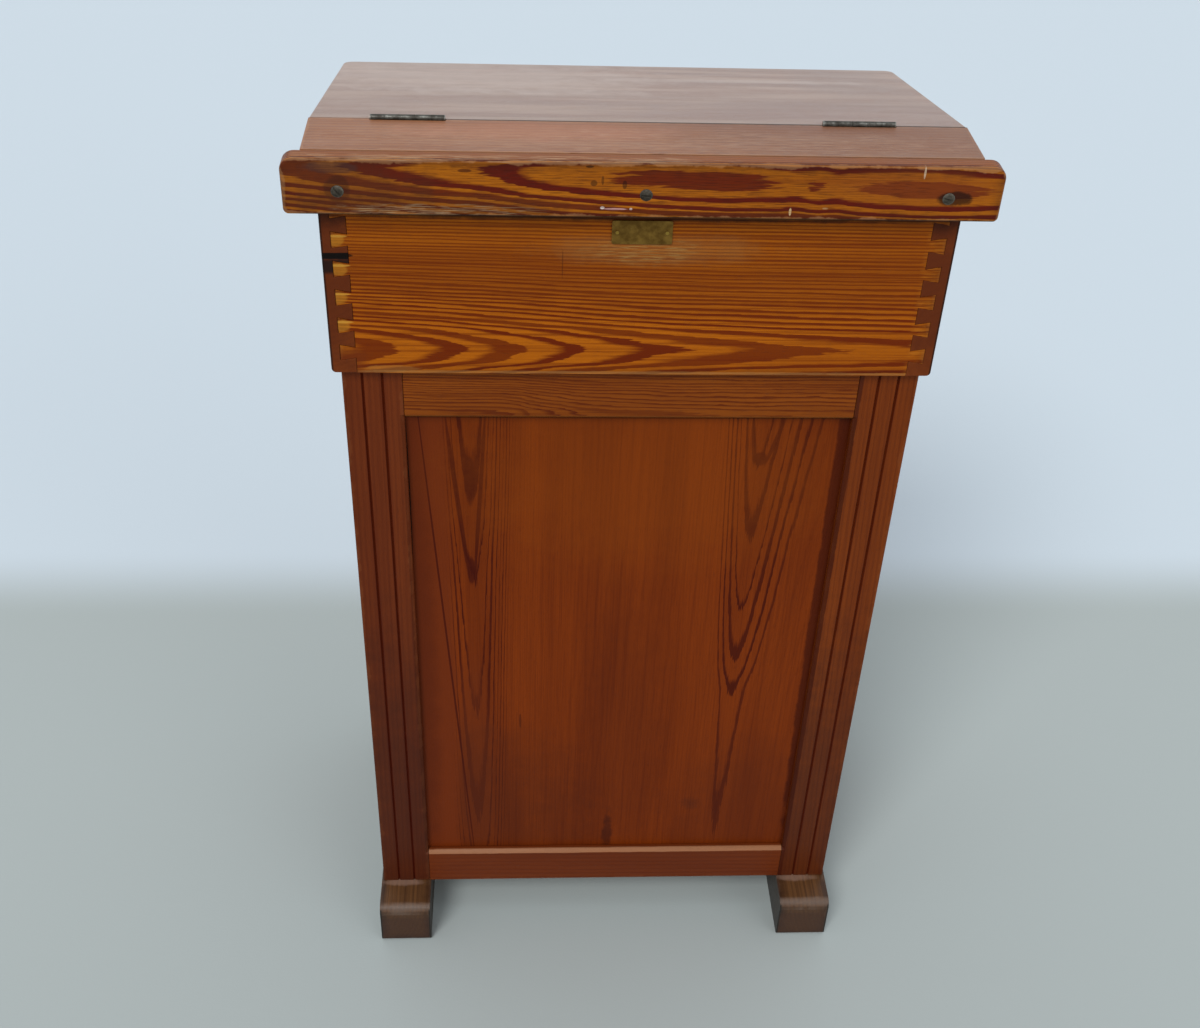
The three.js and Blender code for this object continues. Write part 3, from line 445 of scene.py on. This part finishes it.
# The rings of the boards that the photograph shows
LEDGE_RINGS = Rings(
    middle=1.0835, depth=0.05, near=0.0035, level=0.2, drift=-0.03, wobble=0.2, uneven=0.2,
    along=((-0.33, 4.7), (-0.265, 4.0), (-0.195, 3.30), (-0.148, 3.0), (-0.096, 2.36), (-0.037, 2.0),
           (0.05, 1.76), (0.124, 2.0), (0.135, 2.10), (0.145, 2.0), (0.155, 1.92), (0.165, 2.0),
           (0.175, 2.10), (0.185, 2.0), (0.25, 1.80), (0.311, 2.0), (0.33, 2.1)),
)
BOX_RINGS = Rings(
    middle=0.890, depth=0.03, near=0.0045, far=0.0032, settle=0.05, level=0.06, feather=0.14, uneven=0.5,
    last=8.0, fading=10.0, rest=0.75,
    along=((-0.31, -1.1), (-0.231, 0.0), (-0.169, 1.0), (-0.108, 2.0), (-0.046, 3.0), (0.053, 4.0),
           (0.243, 5.0), (0.31, 5.2)),
)
RAIL_RINGS = Rings(
    middle=0.808, depth=0.012, near=0.0028, level=0.03, wobble=0.8, feather=0.3, uneven=0.8,
    along=((-0.27, 0.0), (-0.2, 0.5), (-0.12, 1.2), (-0.105, 2.0), (-0.075, 3.0), (-0.045, 4.0), (0.02, 4.7),
           (0.27, 5.3)),
)
PANEL_RINGS = (
    Rings(
        middle=-0.166, depth=0.03, near=0.005, far=0.0024, settle=0.006, wobble=0.12, last=8.5, fading=2.5,
        border=-0.062,
        along=((0.1, 5.6), (0.179, 5.0), (0.369, 4.0), (0.572, 3.0), (0.689, 2.0), (0.76, 1.5), (0.81, 1.2)),
    ),
    Rings(
        middle=0.25, depth=0.05, near=0.012, wobble=0.8, strength=0.12, border=0.072,
        along=((0.1, 0.0), (0.81, 1.2)),
    ),
    Rings(
        middle=0.14, depth=0.03, near=0.0031, spread=12, wobble=0.12, last=5.4, fading=1.5,
        along=((0.09, 6.15), (0.129, 6.0), (0.39, 5.0), (0.45, 4.0), (0.529, 3.0), (0.633, 2.0),
               (0.735, 1.0), (0.81, 0.3)),
    ),
)

# What time has left on them
THROUGH = (0.0, math.inf)       # the depth of a mark that goes through its board
LEDGE_MARKS = (
    # A red patch, and stains round the outer screws
    Mark((0.245, 1.077), (0.080, 0.016), "8a4416", 0.4, 0.3, soft=0.8),
    Mark((-0.278, 1.070), (0.012, 0.012), BLACK, 0.5),
    Mark((0.284, 1.067), (0.018, 0.008), BLACK, 0.8),
    Mark((-0.283, 1.090), (0.022, 0.005), "3a3436", 0.5, 1.0, soft=0.6),
    # A pale scratch with a chip at either end
    Mark((-0.0395, 1.0540), (0.0020, 0.0014), "f0e0d8", 0.85, 0.6),
    Mark((-0.0270, 1.0530), (0.0115, 0.0010), "d0a09c", 0.7, 0.9),
    Mark((-0.0135, 1.0532), (0.0015, 0.0012), "e4ccc4", 0.7, 0.6),
    # Small chips, dark and pale
    Mark((-0.052, 1.094), (0.004, 0.0012), BLACK, 0.7),
    Mark((-0.020, 1.077), (0.002, 0.004), BLACK, 0.6),
    Mark((0.252, 1.092), (0.0010, 0.006), "d0b89a", 0.6, 0.2),
    Mark((0.133, 1.052), (0.0012, 0.004), "d8b888", 0.7),
    Mark((0.165, 1.056), (0.003, 0.001), "c8a070", 0.5),
    # Old polish, rubbed through along the left of the lower arris
    Mark((-0.27, 1.072), (0.075, 0.024), "4c2614", 0.5, 0.6, soft=0.9),
    Mark((-0.20, 1.055), (0.14, 0.011), "50280f", 0.5, 0.5, soft=0.9),
    Mark((-0.185, 1.050), (0.085, 0.006), "c8aa80", 0.5, 0.8, soft=0.6, scratchy=True),
    Mark((0.0, 1.071), (0.32, 0.03), "3c1206", 0.5, 0.8, soft=0.8, scratchy=True),
    # The lower arris darkened, the top face painted paler in the tone of its sheen, and a painted highlight
    # along the upper arris
    Mark((0.0, 1.0445), (0.4, 0.0014), BLACK, 0.7, 0.6),
    Mark((0.0, 1.0986), (0.6, 0.0014), "885434", 0.75, 0.3, soft=0.5, depth=(0.006, math.inf)),
    Mark((-0.14, 1.0982), (0.2, 0.0014), "d8b890", 0.3, 0.8, soft=0.6, scratchy=True, depth=(0, 0.012)),
    # Dents
    Mark((-0.164, 1.0885), (0.006, 0.0016), "3c1206", 0.7),
    Mark((-0.048, 1.078), (0.0032, 0.003), BLACK, 0.55),
    Mark((-0.040, 1.081), (0.0012, 0.005), BLACK, 0.5),
)
PANEL_MARKS = (
    # The solid tips of the left board's flames, and the lines that lead to them
    Mark((0.715, -0.1675), (0.034, 0.0062), PANEL_LATE, 0.85, 0.35, soft=0.35),
    Mark((0.590, -0.1675), (0.020, 0.0045), PANEL_LATE, 0.8, 0.35, soft=0.35),
    Mark((0.690, -0.1810), (0.120, 0.0027), PANEL_LATE, 0.8, 0.25, soft=0.35, lean=-0.0975),
    Mark((0.690, -0.1570), (0.120, 0.0024), PANEL_LATE, 0.8, 0.25, soft=0.35, lean=0.065),
    Mark((0.27, -0.168), (0.19, 0.022), "66290d", 0.55, 0.4, soft=0.6),
    # The first tip of the right board's flames
    Mark((0.745, 0.1415), (0.009, 0.0080), PANEL_LATE, 0.85, 0.3, soft=0.4),
    Mark((0.767, 0.1325), (0.032, 0.0024), PANEL_LATE, 0.75, 0.2, soft=0.4, lean=-0.096),
    Mark((0.767, 0.1553), (0.032, 0.0026), PANEL_LATE, 0.75, 0.2, soft=0.4, lean=0.263),
    # Darker stretches
    Mark((0.30, 0.01), (0.25, 0.05), "4c1a08", 0.35, 0.4, soft=0.9),
    Mark((0.15, -0.16), (0.18, 0.14), "401a0e", 0.4, 0.4, soft=0.9),
    Mark((0.15, 0.17), (0.16, 0.09), "4a1c0c", 0.35, 0.4, soft=0.9),
    # The left edge: a plain band, its border and the shade beside it
    Mark((0.46, -0.215), (0.9, 0.027), "6a2a0c", 0.95, 0.2, soft=0.35),
    Mark((0.46, -0.196), (0.42, 0.0012), PANEL_LATE, 0.85, 0.1, lean=-0.068),
    Mark((0.50, -0.232), (0.45, 0.022), "401408", 0.4, 0.4, soft=0.9),
    # The lighter top, and what the frame shades
    Mark((0.72, 0.02), (0.12, 0.2), "8a420c", 0.3, 0.4, soft=0.9),
    Mark((0.70, -0.2322), (0.1, 0.0012), BLACK, 1.0, 0.2),
    Mark((0.83, 0.234), (0.76, 0.0145), "3a0e04", 0.75, 0.2, soft=0.2),
    Mark((0.799, 0.0), (0.0035, 0.4), BLACK, 0.4, 0.2),
    # Small stains
    Mark((0.353, -0.113), (0.012, 0.0015), "3a1408", 0.5),
    Mark((0.14, 0.0), (0.045, 0.007), "30100a", 0.6, 0.8, soft=0.6),
    Mark((0.20, 0.105), (0.012, 0.014), "321812", 0.35, 0.8, soft=0.8),
)
TOP_MARKS = (
    Mark((0.22, -0.15), (0.20, 0.08), "62402c", 0.4, 0.6, soft=0.9),
    Mark((-0.10, -0.14), (0.12, 0.02), "a8623c", 0.35, 0.8, soft=0.9),
    Mark((0.0, -0.16), (0.33, 0.03), "c09878", 0.3, 0.9, soft=0.8, scratchy=True),
    # The seam
    Mark((0.10, -0.1152), (0.5, 0.0014), BLACK, 0.7, 0.3),
)
LID_MARKS = (
    Mark((-0.17, -0.09), (0.18, 0.10), "b49c8c", 0.4, 0.7, soft=0.9),
    Mark((0.20, -0.29), (0.20, 0.05), "74462e", 0.5, 0.7, soft=0.9),
    Mark((0.24, -0.12), (0.06, 0.10), "74503c", 0.4, 0.8, soft=0.9),
    Mark((-0.02, -0.25), (0.22, 0.016), "7a5038", 0.45, 0.9, soft=0.8),
    Mark((-0.12, -0.19), (0.16, 0.012), "b8a090", 0.3, 0.9, soft=0.8),
    Mark((0.12, -0.11), (0.14, 0.010), "bca89c", 0.3, 0.9, soft=0.8),
    # The seam
    Mark((0.16, -0.3394), (0.4, 0.0014), BLACK, 0.7, 0.3),
)


def pale_tail(height):
    """The rubbed end of one of the front board's tails, at the left corner."""
    return (
        Mark((-0.286, height), (0.008, 0.0065), "b87a24", 0.5, 0.6, soft=0.5),
        Mark((-0.284, height + 0.004), (0.010, 0.0013), "d09a3c", 0.5, 0.5),
    )


PALE_TAILS = 4
LOWEST_PALE_TAIL = 0.9162       # the height of its middle
TAIL_STEP = 0.0306              # from one tail to the next
BOX_MARKS = (
    # Wear round the plate
    Mark((0.0, 1.0), (0.05, 0.013), "b89858", 0.5, 0.6, soft=0.8, scratchy=True),
    Mark((0.01, 1.002), (0.10, 0.016), "a07a48", 0.25, 0.6, soft=0.9),
    Mark((-0.074, 0.985), (0.0006, 0.016), "3a1606", 0.5, 0.4),
    # The lower arris, and the tone of the face
    Mark((0.0, 0.8645), (0.4, 0.0016), "b08048", 0.3, 0.9),
    Mark((-0.24, 0.868), (0.03, 0.004), "b88444", 0.2, 0.8),
    Mark((0.0, 0.99), (0.4, 0.06), "5a2606", 0.25, 0.4, soft=0.9),
    Mark((-0.283, 0.876), (0.020, 0.016), "6a2c0c", 0.7, 0.5, soft=0.6),
    Mark((0.284, 0.95), (0.012, 0.4), "b06a1c", 0.5, 0.8, soft=0.6, scratchy=True),
    # The gap by the broken pin, painted black as shade, and the painted shade of the ledge
    Mark((-0.281, 0.9922), (0.010, 0.0018), BLACK, 0.8, 0.3),
    Mark((0.0, 1.038), (0.4, 0.0075), BLACK, 0.8, 0.3, soft=0.5),
    *(mark for i in range(PALE_TAILS) for mark in pale_tail(LOWEST_PALE_TAIL + i * TAIL_STEP)),
)
# The end grain of a side's front end, darker in tone, with the painted shadow of the ledge at its top and
# painted shade along its outer arris. On the left a pin is broken off.
BOX_SIDE_MARKS = (
    Mark((-0.185, 0.95), (0.003, 0.4), "6c300e", 0.85, 0.1, soft=0.5, depth=THROUGH),
    Mark((-0.185, 0.97), (0.004, 0.09), "4a1c0c", 0.5, 0.9, soft=0.9, depth=THROUGH),
    # Painted shadow of the ledge at the top
    Mark((-0.185, 1.062), (0.004, 0.035), "200c08", 0.75, 0.3, soft=0.7, depth=THROUGH),
    # Painted shade along the outer arris
    Mark((-0.185, 0.97), (0.003, 0.4), "1c100a", 0.75, 0.4, soft=0.5, depth=(0, 0.0015)),
)
BOX_LEFT_MARKS = (
    *BOX_SIDE_MARKS,
    # The hole where the pin broke off, painted black and dark as shade
    Mark((-0.185, 0.9915), (0.012, 0.0034), BLACK, 1.0, 0.3, depth=THROUGH),
    Mark((-0.185, 0.980), (0.007, 0.008), "1c1210", 0.9, 0.5, soft=0.6, depth=THROUGH),
)


GROOVES = (0.02, 0.04)      # from a stile's outer edge to its two grooves
STILE_CHAMFER = 0.058       # from the same edge to its chamfer
RAIL_CHAMFER = 0.002        # from a rail's inner edge to its chamfer


# By default a chamfer is painted lighter, as a painted highlight
def frame_marks(name, chamfer="a06840", strength=0.35):
    """A frame's chamfer along its opening, in the colour given; on a stile, a dark lower end and painted shade
    in the grooves.
    """
    low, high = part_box(name)
    length, width, _ = board_axes(name)
    middle = (low[length] + high[length]) / 2
    if "rail" in name:
        inner = low[width] + RAIL_CHAMFER if "top" in name else high[width] - RAIL_CHAMFER
        return (Mark((middle, inner), (1.0, 0.0026), chamfer, strength, 0.4),)
    inwards = -1 if "rear" in name or name == "front_stile_right" else 1
    outer = high[width] if inwards < 0 else low[width]
    return (
        Mark((low[length], outer + inwards * 0.03), (0.4, 0.06), "2e1610", 0.55, 0.4, soft=0.9),
        # Painted shade in the grooves
        *(Mark((middle, outer + inwards * groove), (1.5, 0.0017), "4a1206", 0.7, 0.15) for groove in GROOVES),
        Mark((middle, outer + inwards * STILE_CHAMFER), (1.5, 0.0026), chamfer, strength, 0.4),
    )


def foot_marks(name):
    """A foot's painted nose highlight, the dirt below it, chips where the stile stands on it, and painted
    shade on its sides.
    """
    low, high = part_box(name)
    nose = low.y
    middle = (low.x + high.x) / 2
    return (
        Mark((nose, middle), (0.005, 0.1), "3a2014", 0.45, 0.9, soft=0.8, depth=(0.020, math.inf)),
        # A painted highlight along the nose
        Mark((nose + 0.005, middle), (0.0055, 0.04), "867264", 0.3, 1.0, soft=0.9, depth=(0, 0.013)),
        Mark((nose + 0.043, middle - 0.004), (0.0055, 0.026), "a08070", 0.4, 1.0, soft=0.8,
             depth=(0, 0.004)),
        # Painted shade on both sides
        *(Mark((0.0, side), (0.5, 0.0025), "14120c", 0.8, 0.2, depth=(0.005, math.inf))
          for side in (low.x, high.x)),
    )


# Each board: its finish, its rings where the photograph shows them, the side that shows, and its marks.
BOARDS = {
    "ledge_board": (LEDGE, (LEDGE_RINGS,), -1, LEDGE_MARKS),
    "box_front": (BOX, (BOX_RINGS,), -1, BOX_MARKS),
    "box_rear": (BOX, (), 1, ()),
    "box_left_side": (BOX_END, (), -1, BOX_LEFT_MARKS),
    "box_right_side": (BOX_END, (), 1, BOX_SIDE_MARKS),
    "top_strip": (TOP, (), 1, TOP_MARKS),
    "lid": (LID, (), 1, LID_MARKS),
    "front_panel": (PANEL, PANEL_RINGS, -1, PANEL_MARKS),
    "front_top_rail": (RAIL, (RAIL_RINGS,), -1, frame_marks("front_top_rail", "9a5a20")),
    # A painted highlight on the bottom rail's chamfer, which faces up towards the light
    "front_bottom_rail": (FRAME, (), -1, frame_marks("front_bottom_rail", "b88660", 0.42)),
    "front_stile_left": (FRAME, (), -1, frame_marks("front_stile_left", strength=0.0)),
    # Painted shade on the right stile's chamfer, which faces away from the light
    "front_stile_right": (FRAME_RIGHT, (), -1, frame_marks("front_stile_right", "3a0e04", 0.7)),
    "rear_top_rail": (FRAME, (), 1, ()),
    "rear_bottom_rail": (FRAME, (), 1, ()),
    "door_panel": (PANEL, (), 1, ()),
    "foot_left": (FOOT, (), 1, foot_marks("foot_left")),
    "foot_right": (FOOT, (), 1, foot_marks("foot_right")),
    "cabinet_floor": (INSIDE, (), 1, ()),
    "box_floor": (INSIDE, (), 1, ()),
    "shelf": (INSIDE, (), 1, ()),
    "shelf_cleat_left": (INSIDE, (), 1, ()),
    "shelf_cleat_right": (INSIDE, (), -1, ()),
    "lid_batten_left": (INSIDE, (), 1, ()),
    "lid_batten_right": (INSIDE, (), 1, ()),
}
for part in ("hinge_stile", "lock_stile", "top_rail", "bottom_rail"):
    BOARDS["door_" + part] = (FRAME, (), 1, ())
for side, outward in (("left", -1), ("right", 1)):
    for part in ("top_rail", "bottom_rail", "front_stile", "rear_stile"):
        BOARDS[f"{side}_{part}"] = (FRAME, (), outward, frame_marks(f"{side}_{part}"))
    BOARDS[f"{side}_panel"] = (PANEL, (), outward, ())


# Metal

@dataclass
class Metal:
    """The colours of a metal: where its patina is dark and where it is light, and where it is rubbed."""
    dark: str
    light: str
    rubbed: str
    wear: float = 0.6
    roughness: float = 0.5


IRON = Metal("34302a", "62605a", "9c9c94")
STEEL = Metal("2c2620", "5c554a", "807a70", wear=0.25)
BRASS = Metal("624516", "88672b", "b09040", roughness=0.42)


def metal_material(name, metal, edge=None):
    """Metal with a patina. `edge` measures how far the nearest edge is, where the patina is rubbed off."""
    net = Net(name)
    patina = net.speckle(120, 4.0, 0.6)
    grit = net.speckle(1500, 3.0, 0.6)
    base = net.mix(net.ramp(patina, 0.3, 0.75), colour(metal.dark), colour(metal.light))
    base = net.mix(net.ramp(grit, 0.6, 0.75, 0.0, 0.35), base, colour(DIRT))
    roughness = patina * 0.25 + grit * 0.15 + (metal.roughness - 0.2)
    if edge:
        rubbed = net.ramp(edge(net, *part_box(name)) - (patina - 0.5) * 0.004, 0.0002, 0.0014, metal.wear, 0.0)
        base = net.mix(rubbed, base, colour(metal.rubbed))
        roughness = roughness - rubbed * 0.15
    return net.surface(base, roughness, patina * 0.5 + grit, 0.12 * MM, metallic=0.85)


def rim_distance(net, low, high):
    """In a round bar, how far its outside is."""
    _, *across = sorted(range(3), key=lambda i: low[i] - high[i])
    offs = [net.place[i] - (low[i] + high[i]) / 2 for i in across]
    radius = (high[across[0]] - low[across[0]]) / 2
    return radius - net.math("SQRT", offs[0] * offs[0] + offs[1] * offs[1])


def pin_distance(net, low, high):
    """On the brass plate, four times how far behind the heads of its pins a place lies."""
    return (net.place[1] - low.y) * 4


def metal_of(name):
    """The metal of a node, and what measures how far its nearest edge is."""
    if name == "brass_plate":
        return BRASS, pin_distance
    if name == "door_escutcheon":
        return BRASS, arris_distance
    metal = STEEL if "screw" in name or name in ("door_key", "door_lock_bolt") else IRON
    return metal, rim_distance if "screw" in name or "pin" in name else arris_distance


# Edges

ARRIS = 0.8 * MM            # how much is taken off an edge of the wood


def soften(piece):
    """Takes the arris off the edges of a piece."""
    weld = piece.modifiers.new("weld", "WELD")
    weld.merge_threshold = 0.01 * MM
    flat = piece.modifiers.new("flat", "DECIMATE")
    flat.decimate_type = "DISSOLVE"
    flat.angle_limit = math.radians(1)
    bevel = piece.modifiers.new("bevel", "BEVEL")
    bevel.width = ARRIS
    bevel.segments = 2
    bevel.limit_method = "ANGLE"
    bevel.angle_limit = math.radians(40)


# Screws that the frame leaves out

SCREW_SINK = 0.8 * MM           # how deep a head sits in what it holds
PROUD = 0.12 * MM               # how far it stands out, unless a call says otherwise
HALF_SLOT = 0.14                # half the width of its slot, in radii
SLOT_DEPTH = 0.5 * SCREW_SINK
ARC_STEPS = 12                  # flats on either half of its rim
LEAF_SCREW = 2.9 * MM           # radius of a hinge screw
LEAF_INSET = 11 * MM            # from a leaf's ends to the middles of its outer screws
STAGGER = (-1 * MM, 2 * MM)     # how far they sit off their line, by turns
LID_LEAF_FACE = 0.3 * MM        # from the seam's middle to a leaf's face
LID_LEAF_DROP = 9.4 * MM        # from a pin's underside to the line of the screws
DOOR_LEAF_FACE = 0.65 * MM
DOOR_LEAF_DROP = 8.8 * MM       # from a pin's inner side
BATTEN_THICKNESS = 12 * MM
BATTEN_INSET = 28 * MM          # from a batten's ends to its outer screws


def slotted_head(name, radius, proud, turn):
    """A flat screw head about the origin, facing +Z, with an open slot across it."""
    reach = math.pi / 2 - math.asin(HALF_SLOT)
    mesh = bmesh.new()
    floor, rims, feet = [], [], []
    for side in (0, math.pi):
        angles = [side - reach + 2 * reach * i / ARC_STEPS for i in range(ARC_STEPS + 1)]
        arc = [(radius * math.cos(angle), radius * math.sin(angle)) for angle in angles]
        rims.append([mesh.verts.new((x, y, proud)) for x, y in arc])
        feet.append([mesh.verts.new((x, y, -SCREW_SINK)) for x, y in arc])
        floor.append([mesh.verts.new((x, y, proud - SLOT_DEPTH)) for x, y in (arc[0], arc[-1])])
    mesh.faces.new((floor[0][0], floor[0][1], floor[1][0], floor[1][1]))
    mesh.faces.new(reversed(feet[0] + feet[1]))
    for rim, foot, (first, last) in zip(rims, feet, floor):
        mesh.faces.new(rim)
        mesh.faces.new((rim[-1], rim[0], first, last)[::-1])
        mesh.faces.new((foot[0], foot[1], rim[1], rim[0], first))
        mesh.faces.new((foot[-2], foot[-1], last, rim[-1], rim[-2]))
        for i in range(1, ARC_STEPS - 1):
            mesh.faces.new((foot[i], foot[i + 1], rim[i + 1], rim[i]))
    for here, there in ((0, 1), (1, 0)):
        mesh.faces.new((floor[here][1], feet[here][-1], feet[there][0], floor[there][0]))
    bmesh.ops.recalc_face_normals(mesh, faces=mesh.faces)
    bmesh.ops.rotate(mesh, verts=mesh.verts, matrix=Matrix.Rotation(turn, 3, "Z"))
    data = bpy.data.meshes.new(name)
    mesh.to_mesh(data)
    mesh.free()
    return data


def add_screws(name, body, places, facing, radius=3.2 * MM, slot="steel", proud=PROUD):
    """One piece: slotted heads at some places, all facing the same way."""
    chance = random.Random(name)
    upright = Vector(facing).to_track_quat("Z", "X").to_matrix().to_4x4()
    mesh = bmesh.new()
    for place in places:
        data = slotted_head(name, radius, proud, chance.uniform(0, math.pi))
        data.transform(Matrix.Translation(place) @ upright)
        mesh.from_mesh(data)
        bpy.data.meshes.remove(data)
    data = bpy.data.meshes.new(name)
    mesh.to_mesh(data)
    mesh.free()
    piece = bpy.data.objects.new(name, data)
    bpy.context.scene.collection.objects.link(piece)
    data.materials.append(SCREW_METALS[slot])
    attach(piece, body)


def spaced(start, end, count, inset):
    """Evenly spaced places between two ends, the outer ones `inset` from them."""
    return [start + inset + (end - start - 2 * inset) * i / (count - 1) for i in range(count)]


def add_hinge_screws():
    for side in ("left", "right"):
        low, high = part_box(f"lid_hinge_{side}_pin")
        seam = (low.y + high.y) / 2
        for leaf, body, facing in (("strip", "carcass", 1), ("lid", "lid", -1)):
            places = [
                (x, seam - facing * LID_LEAF_FACE, low.z - LID_LEAF_DROP + STAGGER[i % 2])
                for i, x in enumerate(spaced(low.x, high.x, 3, LEAF_INSET))
            ]
            add_screws(f"lid_hinge_{side}_{leaf}_screws", body, places, (0, facing, 0), LEAF_SCREW)
    for which in ("upper", "lower"):
        low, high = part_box(f"door_hinge_{which}_pin")
        seam = (low.x + high.x) / 2
        for leaf, body, facing in (("post", "carcass", -1), ("door", "door", 1)):
            places = [
                (seam - facing * DOOR_LEAF_FACE, low.y - DOOR_LEAF_DROP + STAGGER[i % 2], z)
                for i, z in enumerate(spaced(low.z, high.z, 3, LEAF_INSET))
            ]
            add_screws(f"door_hinge_{which}_{leaf}_screws", body, places, (facing, 0, 0), LEAF_SCREW)


def add_lock_screws():
    low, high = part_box("door_lock_case")
    columns = spaced(low.x, high.x, 2, inset=5 * MM)
    rows = spaced(low.z, high.z, 2, inset=5 * MM)
    places = [(x, low.y, z) for x in columns for z in rows]
    add_screws("door_lock_case_screws", "door", places, (0, -1, 0), proud=0.4 * MM)
    low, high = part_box("door_strike_plate")
    places = [(high.x, (low.y + high.y) / 2, z) for z in spaced(low.z, high.z, 2, inset=5.5 * MM)]
    add_screws("door_strike_plate_screws", "carcass", places, (1, 0, 0), radius=2.6 * MM)
    low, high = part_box("door_escutcheon")
    places = [((low.x + high.x) / 2, high.y, z) for z in spaced(low.z, high.z, 2, inset=3.6 * MM)]
    add_screws("door_escutcheon_screws", "door", places, (0, 1, 0), radius=1.7 * MM, slot="brass",
               proud=0.3 * MM)


def add_batten_screws():
    down = Vector((0, -math.sin(LID_SLOPE), -math.cos(LID_SLOPE)))
    for side in ("left", "right"):
        low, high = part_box(f"lid_batten_{side}")
        near = high.z - BATTEN_THICKNESS * math.cos(LID_SLOPE)
        length = (near - low.z) / math.sin(LID_SLOPE)
        places = [
            ((low.x + high.x) / 2, low.y + step * math.cos(LID_SLOPE), near - step * math.sin(LID_SLOPE))
            for step in spaced(0.0, length, 3, BATTEN_INSET)
        ]
        add_screws(f"lid_batten_{side}_screws", "lid", places, down, radius=4 * MM)


# Floor, world and lamps

FLOOR_REACH = 8
FLOOR_BACK = (0.42, 0.60)       # between these the floor turns into the paler backdrop


def make_floor():
    """A plain floor that turns paler behind the desk, as the photograph's does at the wall."""
    corners = [(x * FLOOR_REACH, y * FLOOR_REACH, 0) for x, y in ((-1, -1), (1, -1), (1, 1), (-1, 1))]
    mesh = bpy.data.meshes.new("floor")
    mesh.from_pydata(corners, [], [(0, 1, 2, 3)])
    floor = bpy.data.objects.new("floor", mesh)
    bpy.context.scene.collection.objects.link(floor)
    net = Net("floor")
    base = net.mix(net.ramp(net.place[1], *FLOOR_BACK), colour("a8b0ae"), colour("c6d1d8"))
    floor.data.materials.append(net.surface(base, 0.75, net.speckle(300), 0.1 * MM, specular=0.2))


def make_world():
    """Plain light from all round, with a pale backdrop for the camera and for what mirrors it."""
    world = bpy.data.worlds.new("world")
    world.use_nodes = True
    nodes, links = world.node_tree.nodes, world.node_tree.links
    nodes.clear()
    rays = nodes.new("ShaderNodeLightPath")
    light = nodes.new("ShaderNodeBackground")
    light.inputs["Color"].default_value = colour("eef3fa")
    light.inputs["Strength"].default_value = 0.62
    seen = nodes.new("ShaderNodeBackground")
    seen.inputs["Color"].default_value = colour("dde5ec")
    seen.inputs["Strength"].default_value = 1.0
    pick = nodes.new("ShaderNodeMixShader")
    out = nodes.new("ShaderNodeOutputWorld")
    either = nodes.new("ShaderNodeMath")
    either.operation = "MAXIMUM"
    links.new(rays.outputs["Is Camera Ray"], either.inputs[0])
    links.new(rays.outputs["Is Glossy Ray"], either.inputs[1])
    links.new(either.outputs[0], pick.inputs["Fac"])
    links.new(light.outputs[0], pick.inputs[1])
    links.new(seen.outputs[0], pick.inputs[2])
    links.new(pick.outputs[0], out.inputs["Surface"])
    bpy.context.scene.world = world


def make_lamp(name, place, softness, strength):
    """A soft lamp so far off that it lights everything alike, from the side that `place` gives."""
    data = bpy.data.lights.new(name, "SUN")
    data.angle = math.radians(softness)
    data.energy = strength
    lamp = bpy.data.objects.new(name, data)
    lamp.rotation_mode = "QUATERNION"
    lamp.rotation_quaternion = (-Vector(place)).to_track_quat("-Z", "Y")
    bpy.context.scene.collection.objects.link(lamp)


def dress(name, material):
    """Gives a CAD node its material."""
    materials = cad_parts[name].data.materials
    materials.clear()
    materials.append(material)


# The scene

make_camera()
make_floor()
make_world()
make_lamp("key", (-1.2, -2.2, 2.7), 22, 1.6)
make_lamp("fill", (1.9, -2.2, 1.0), 40, 0.5)
make_lamp("overhead", (0, 0.6, 2.3), 60, 0.45)

bpy.context.scene.view_settings.view_transform = "Standard"

for name, (finish, layouts, outward, marks) in BOARDS.items():
    slope = LID_SLOPE if name.startswith("lid") else 0.0
    dress(name, board_material(name, finish, layouts or (plain_rings(name),), outward, marks, slope))

SCREW_METALS = {"steel": metal_material("steel", STEEL), "brass": metal_material("brass", BRASS)}
for name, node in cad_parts.items():
    if name in BOARDS:
        soften(node)
    else:
        dress(name, metal_material(name, *metal_of(name)))

add_hinge_screws()
add_lock_screws()
add_batten_screws()
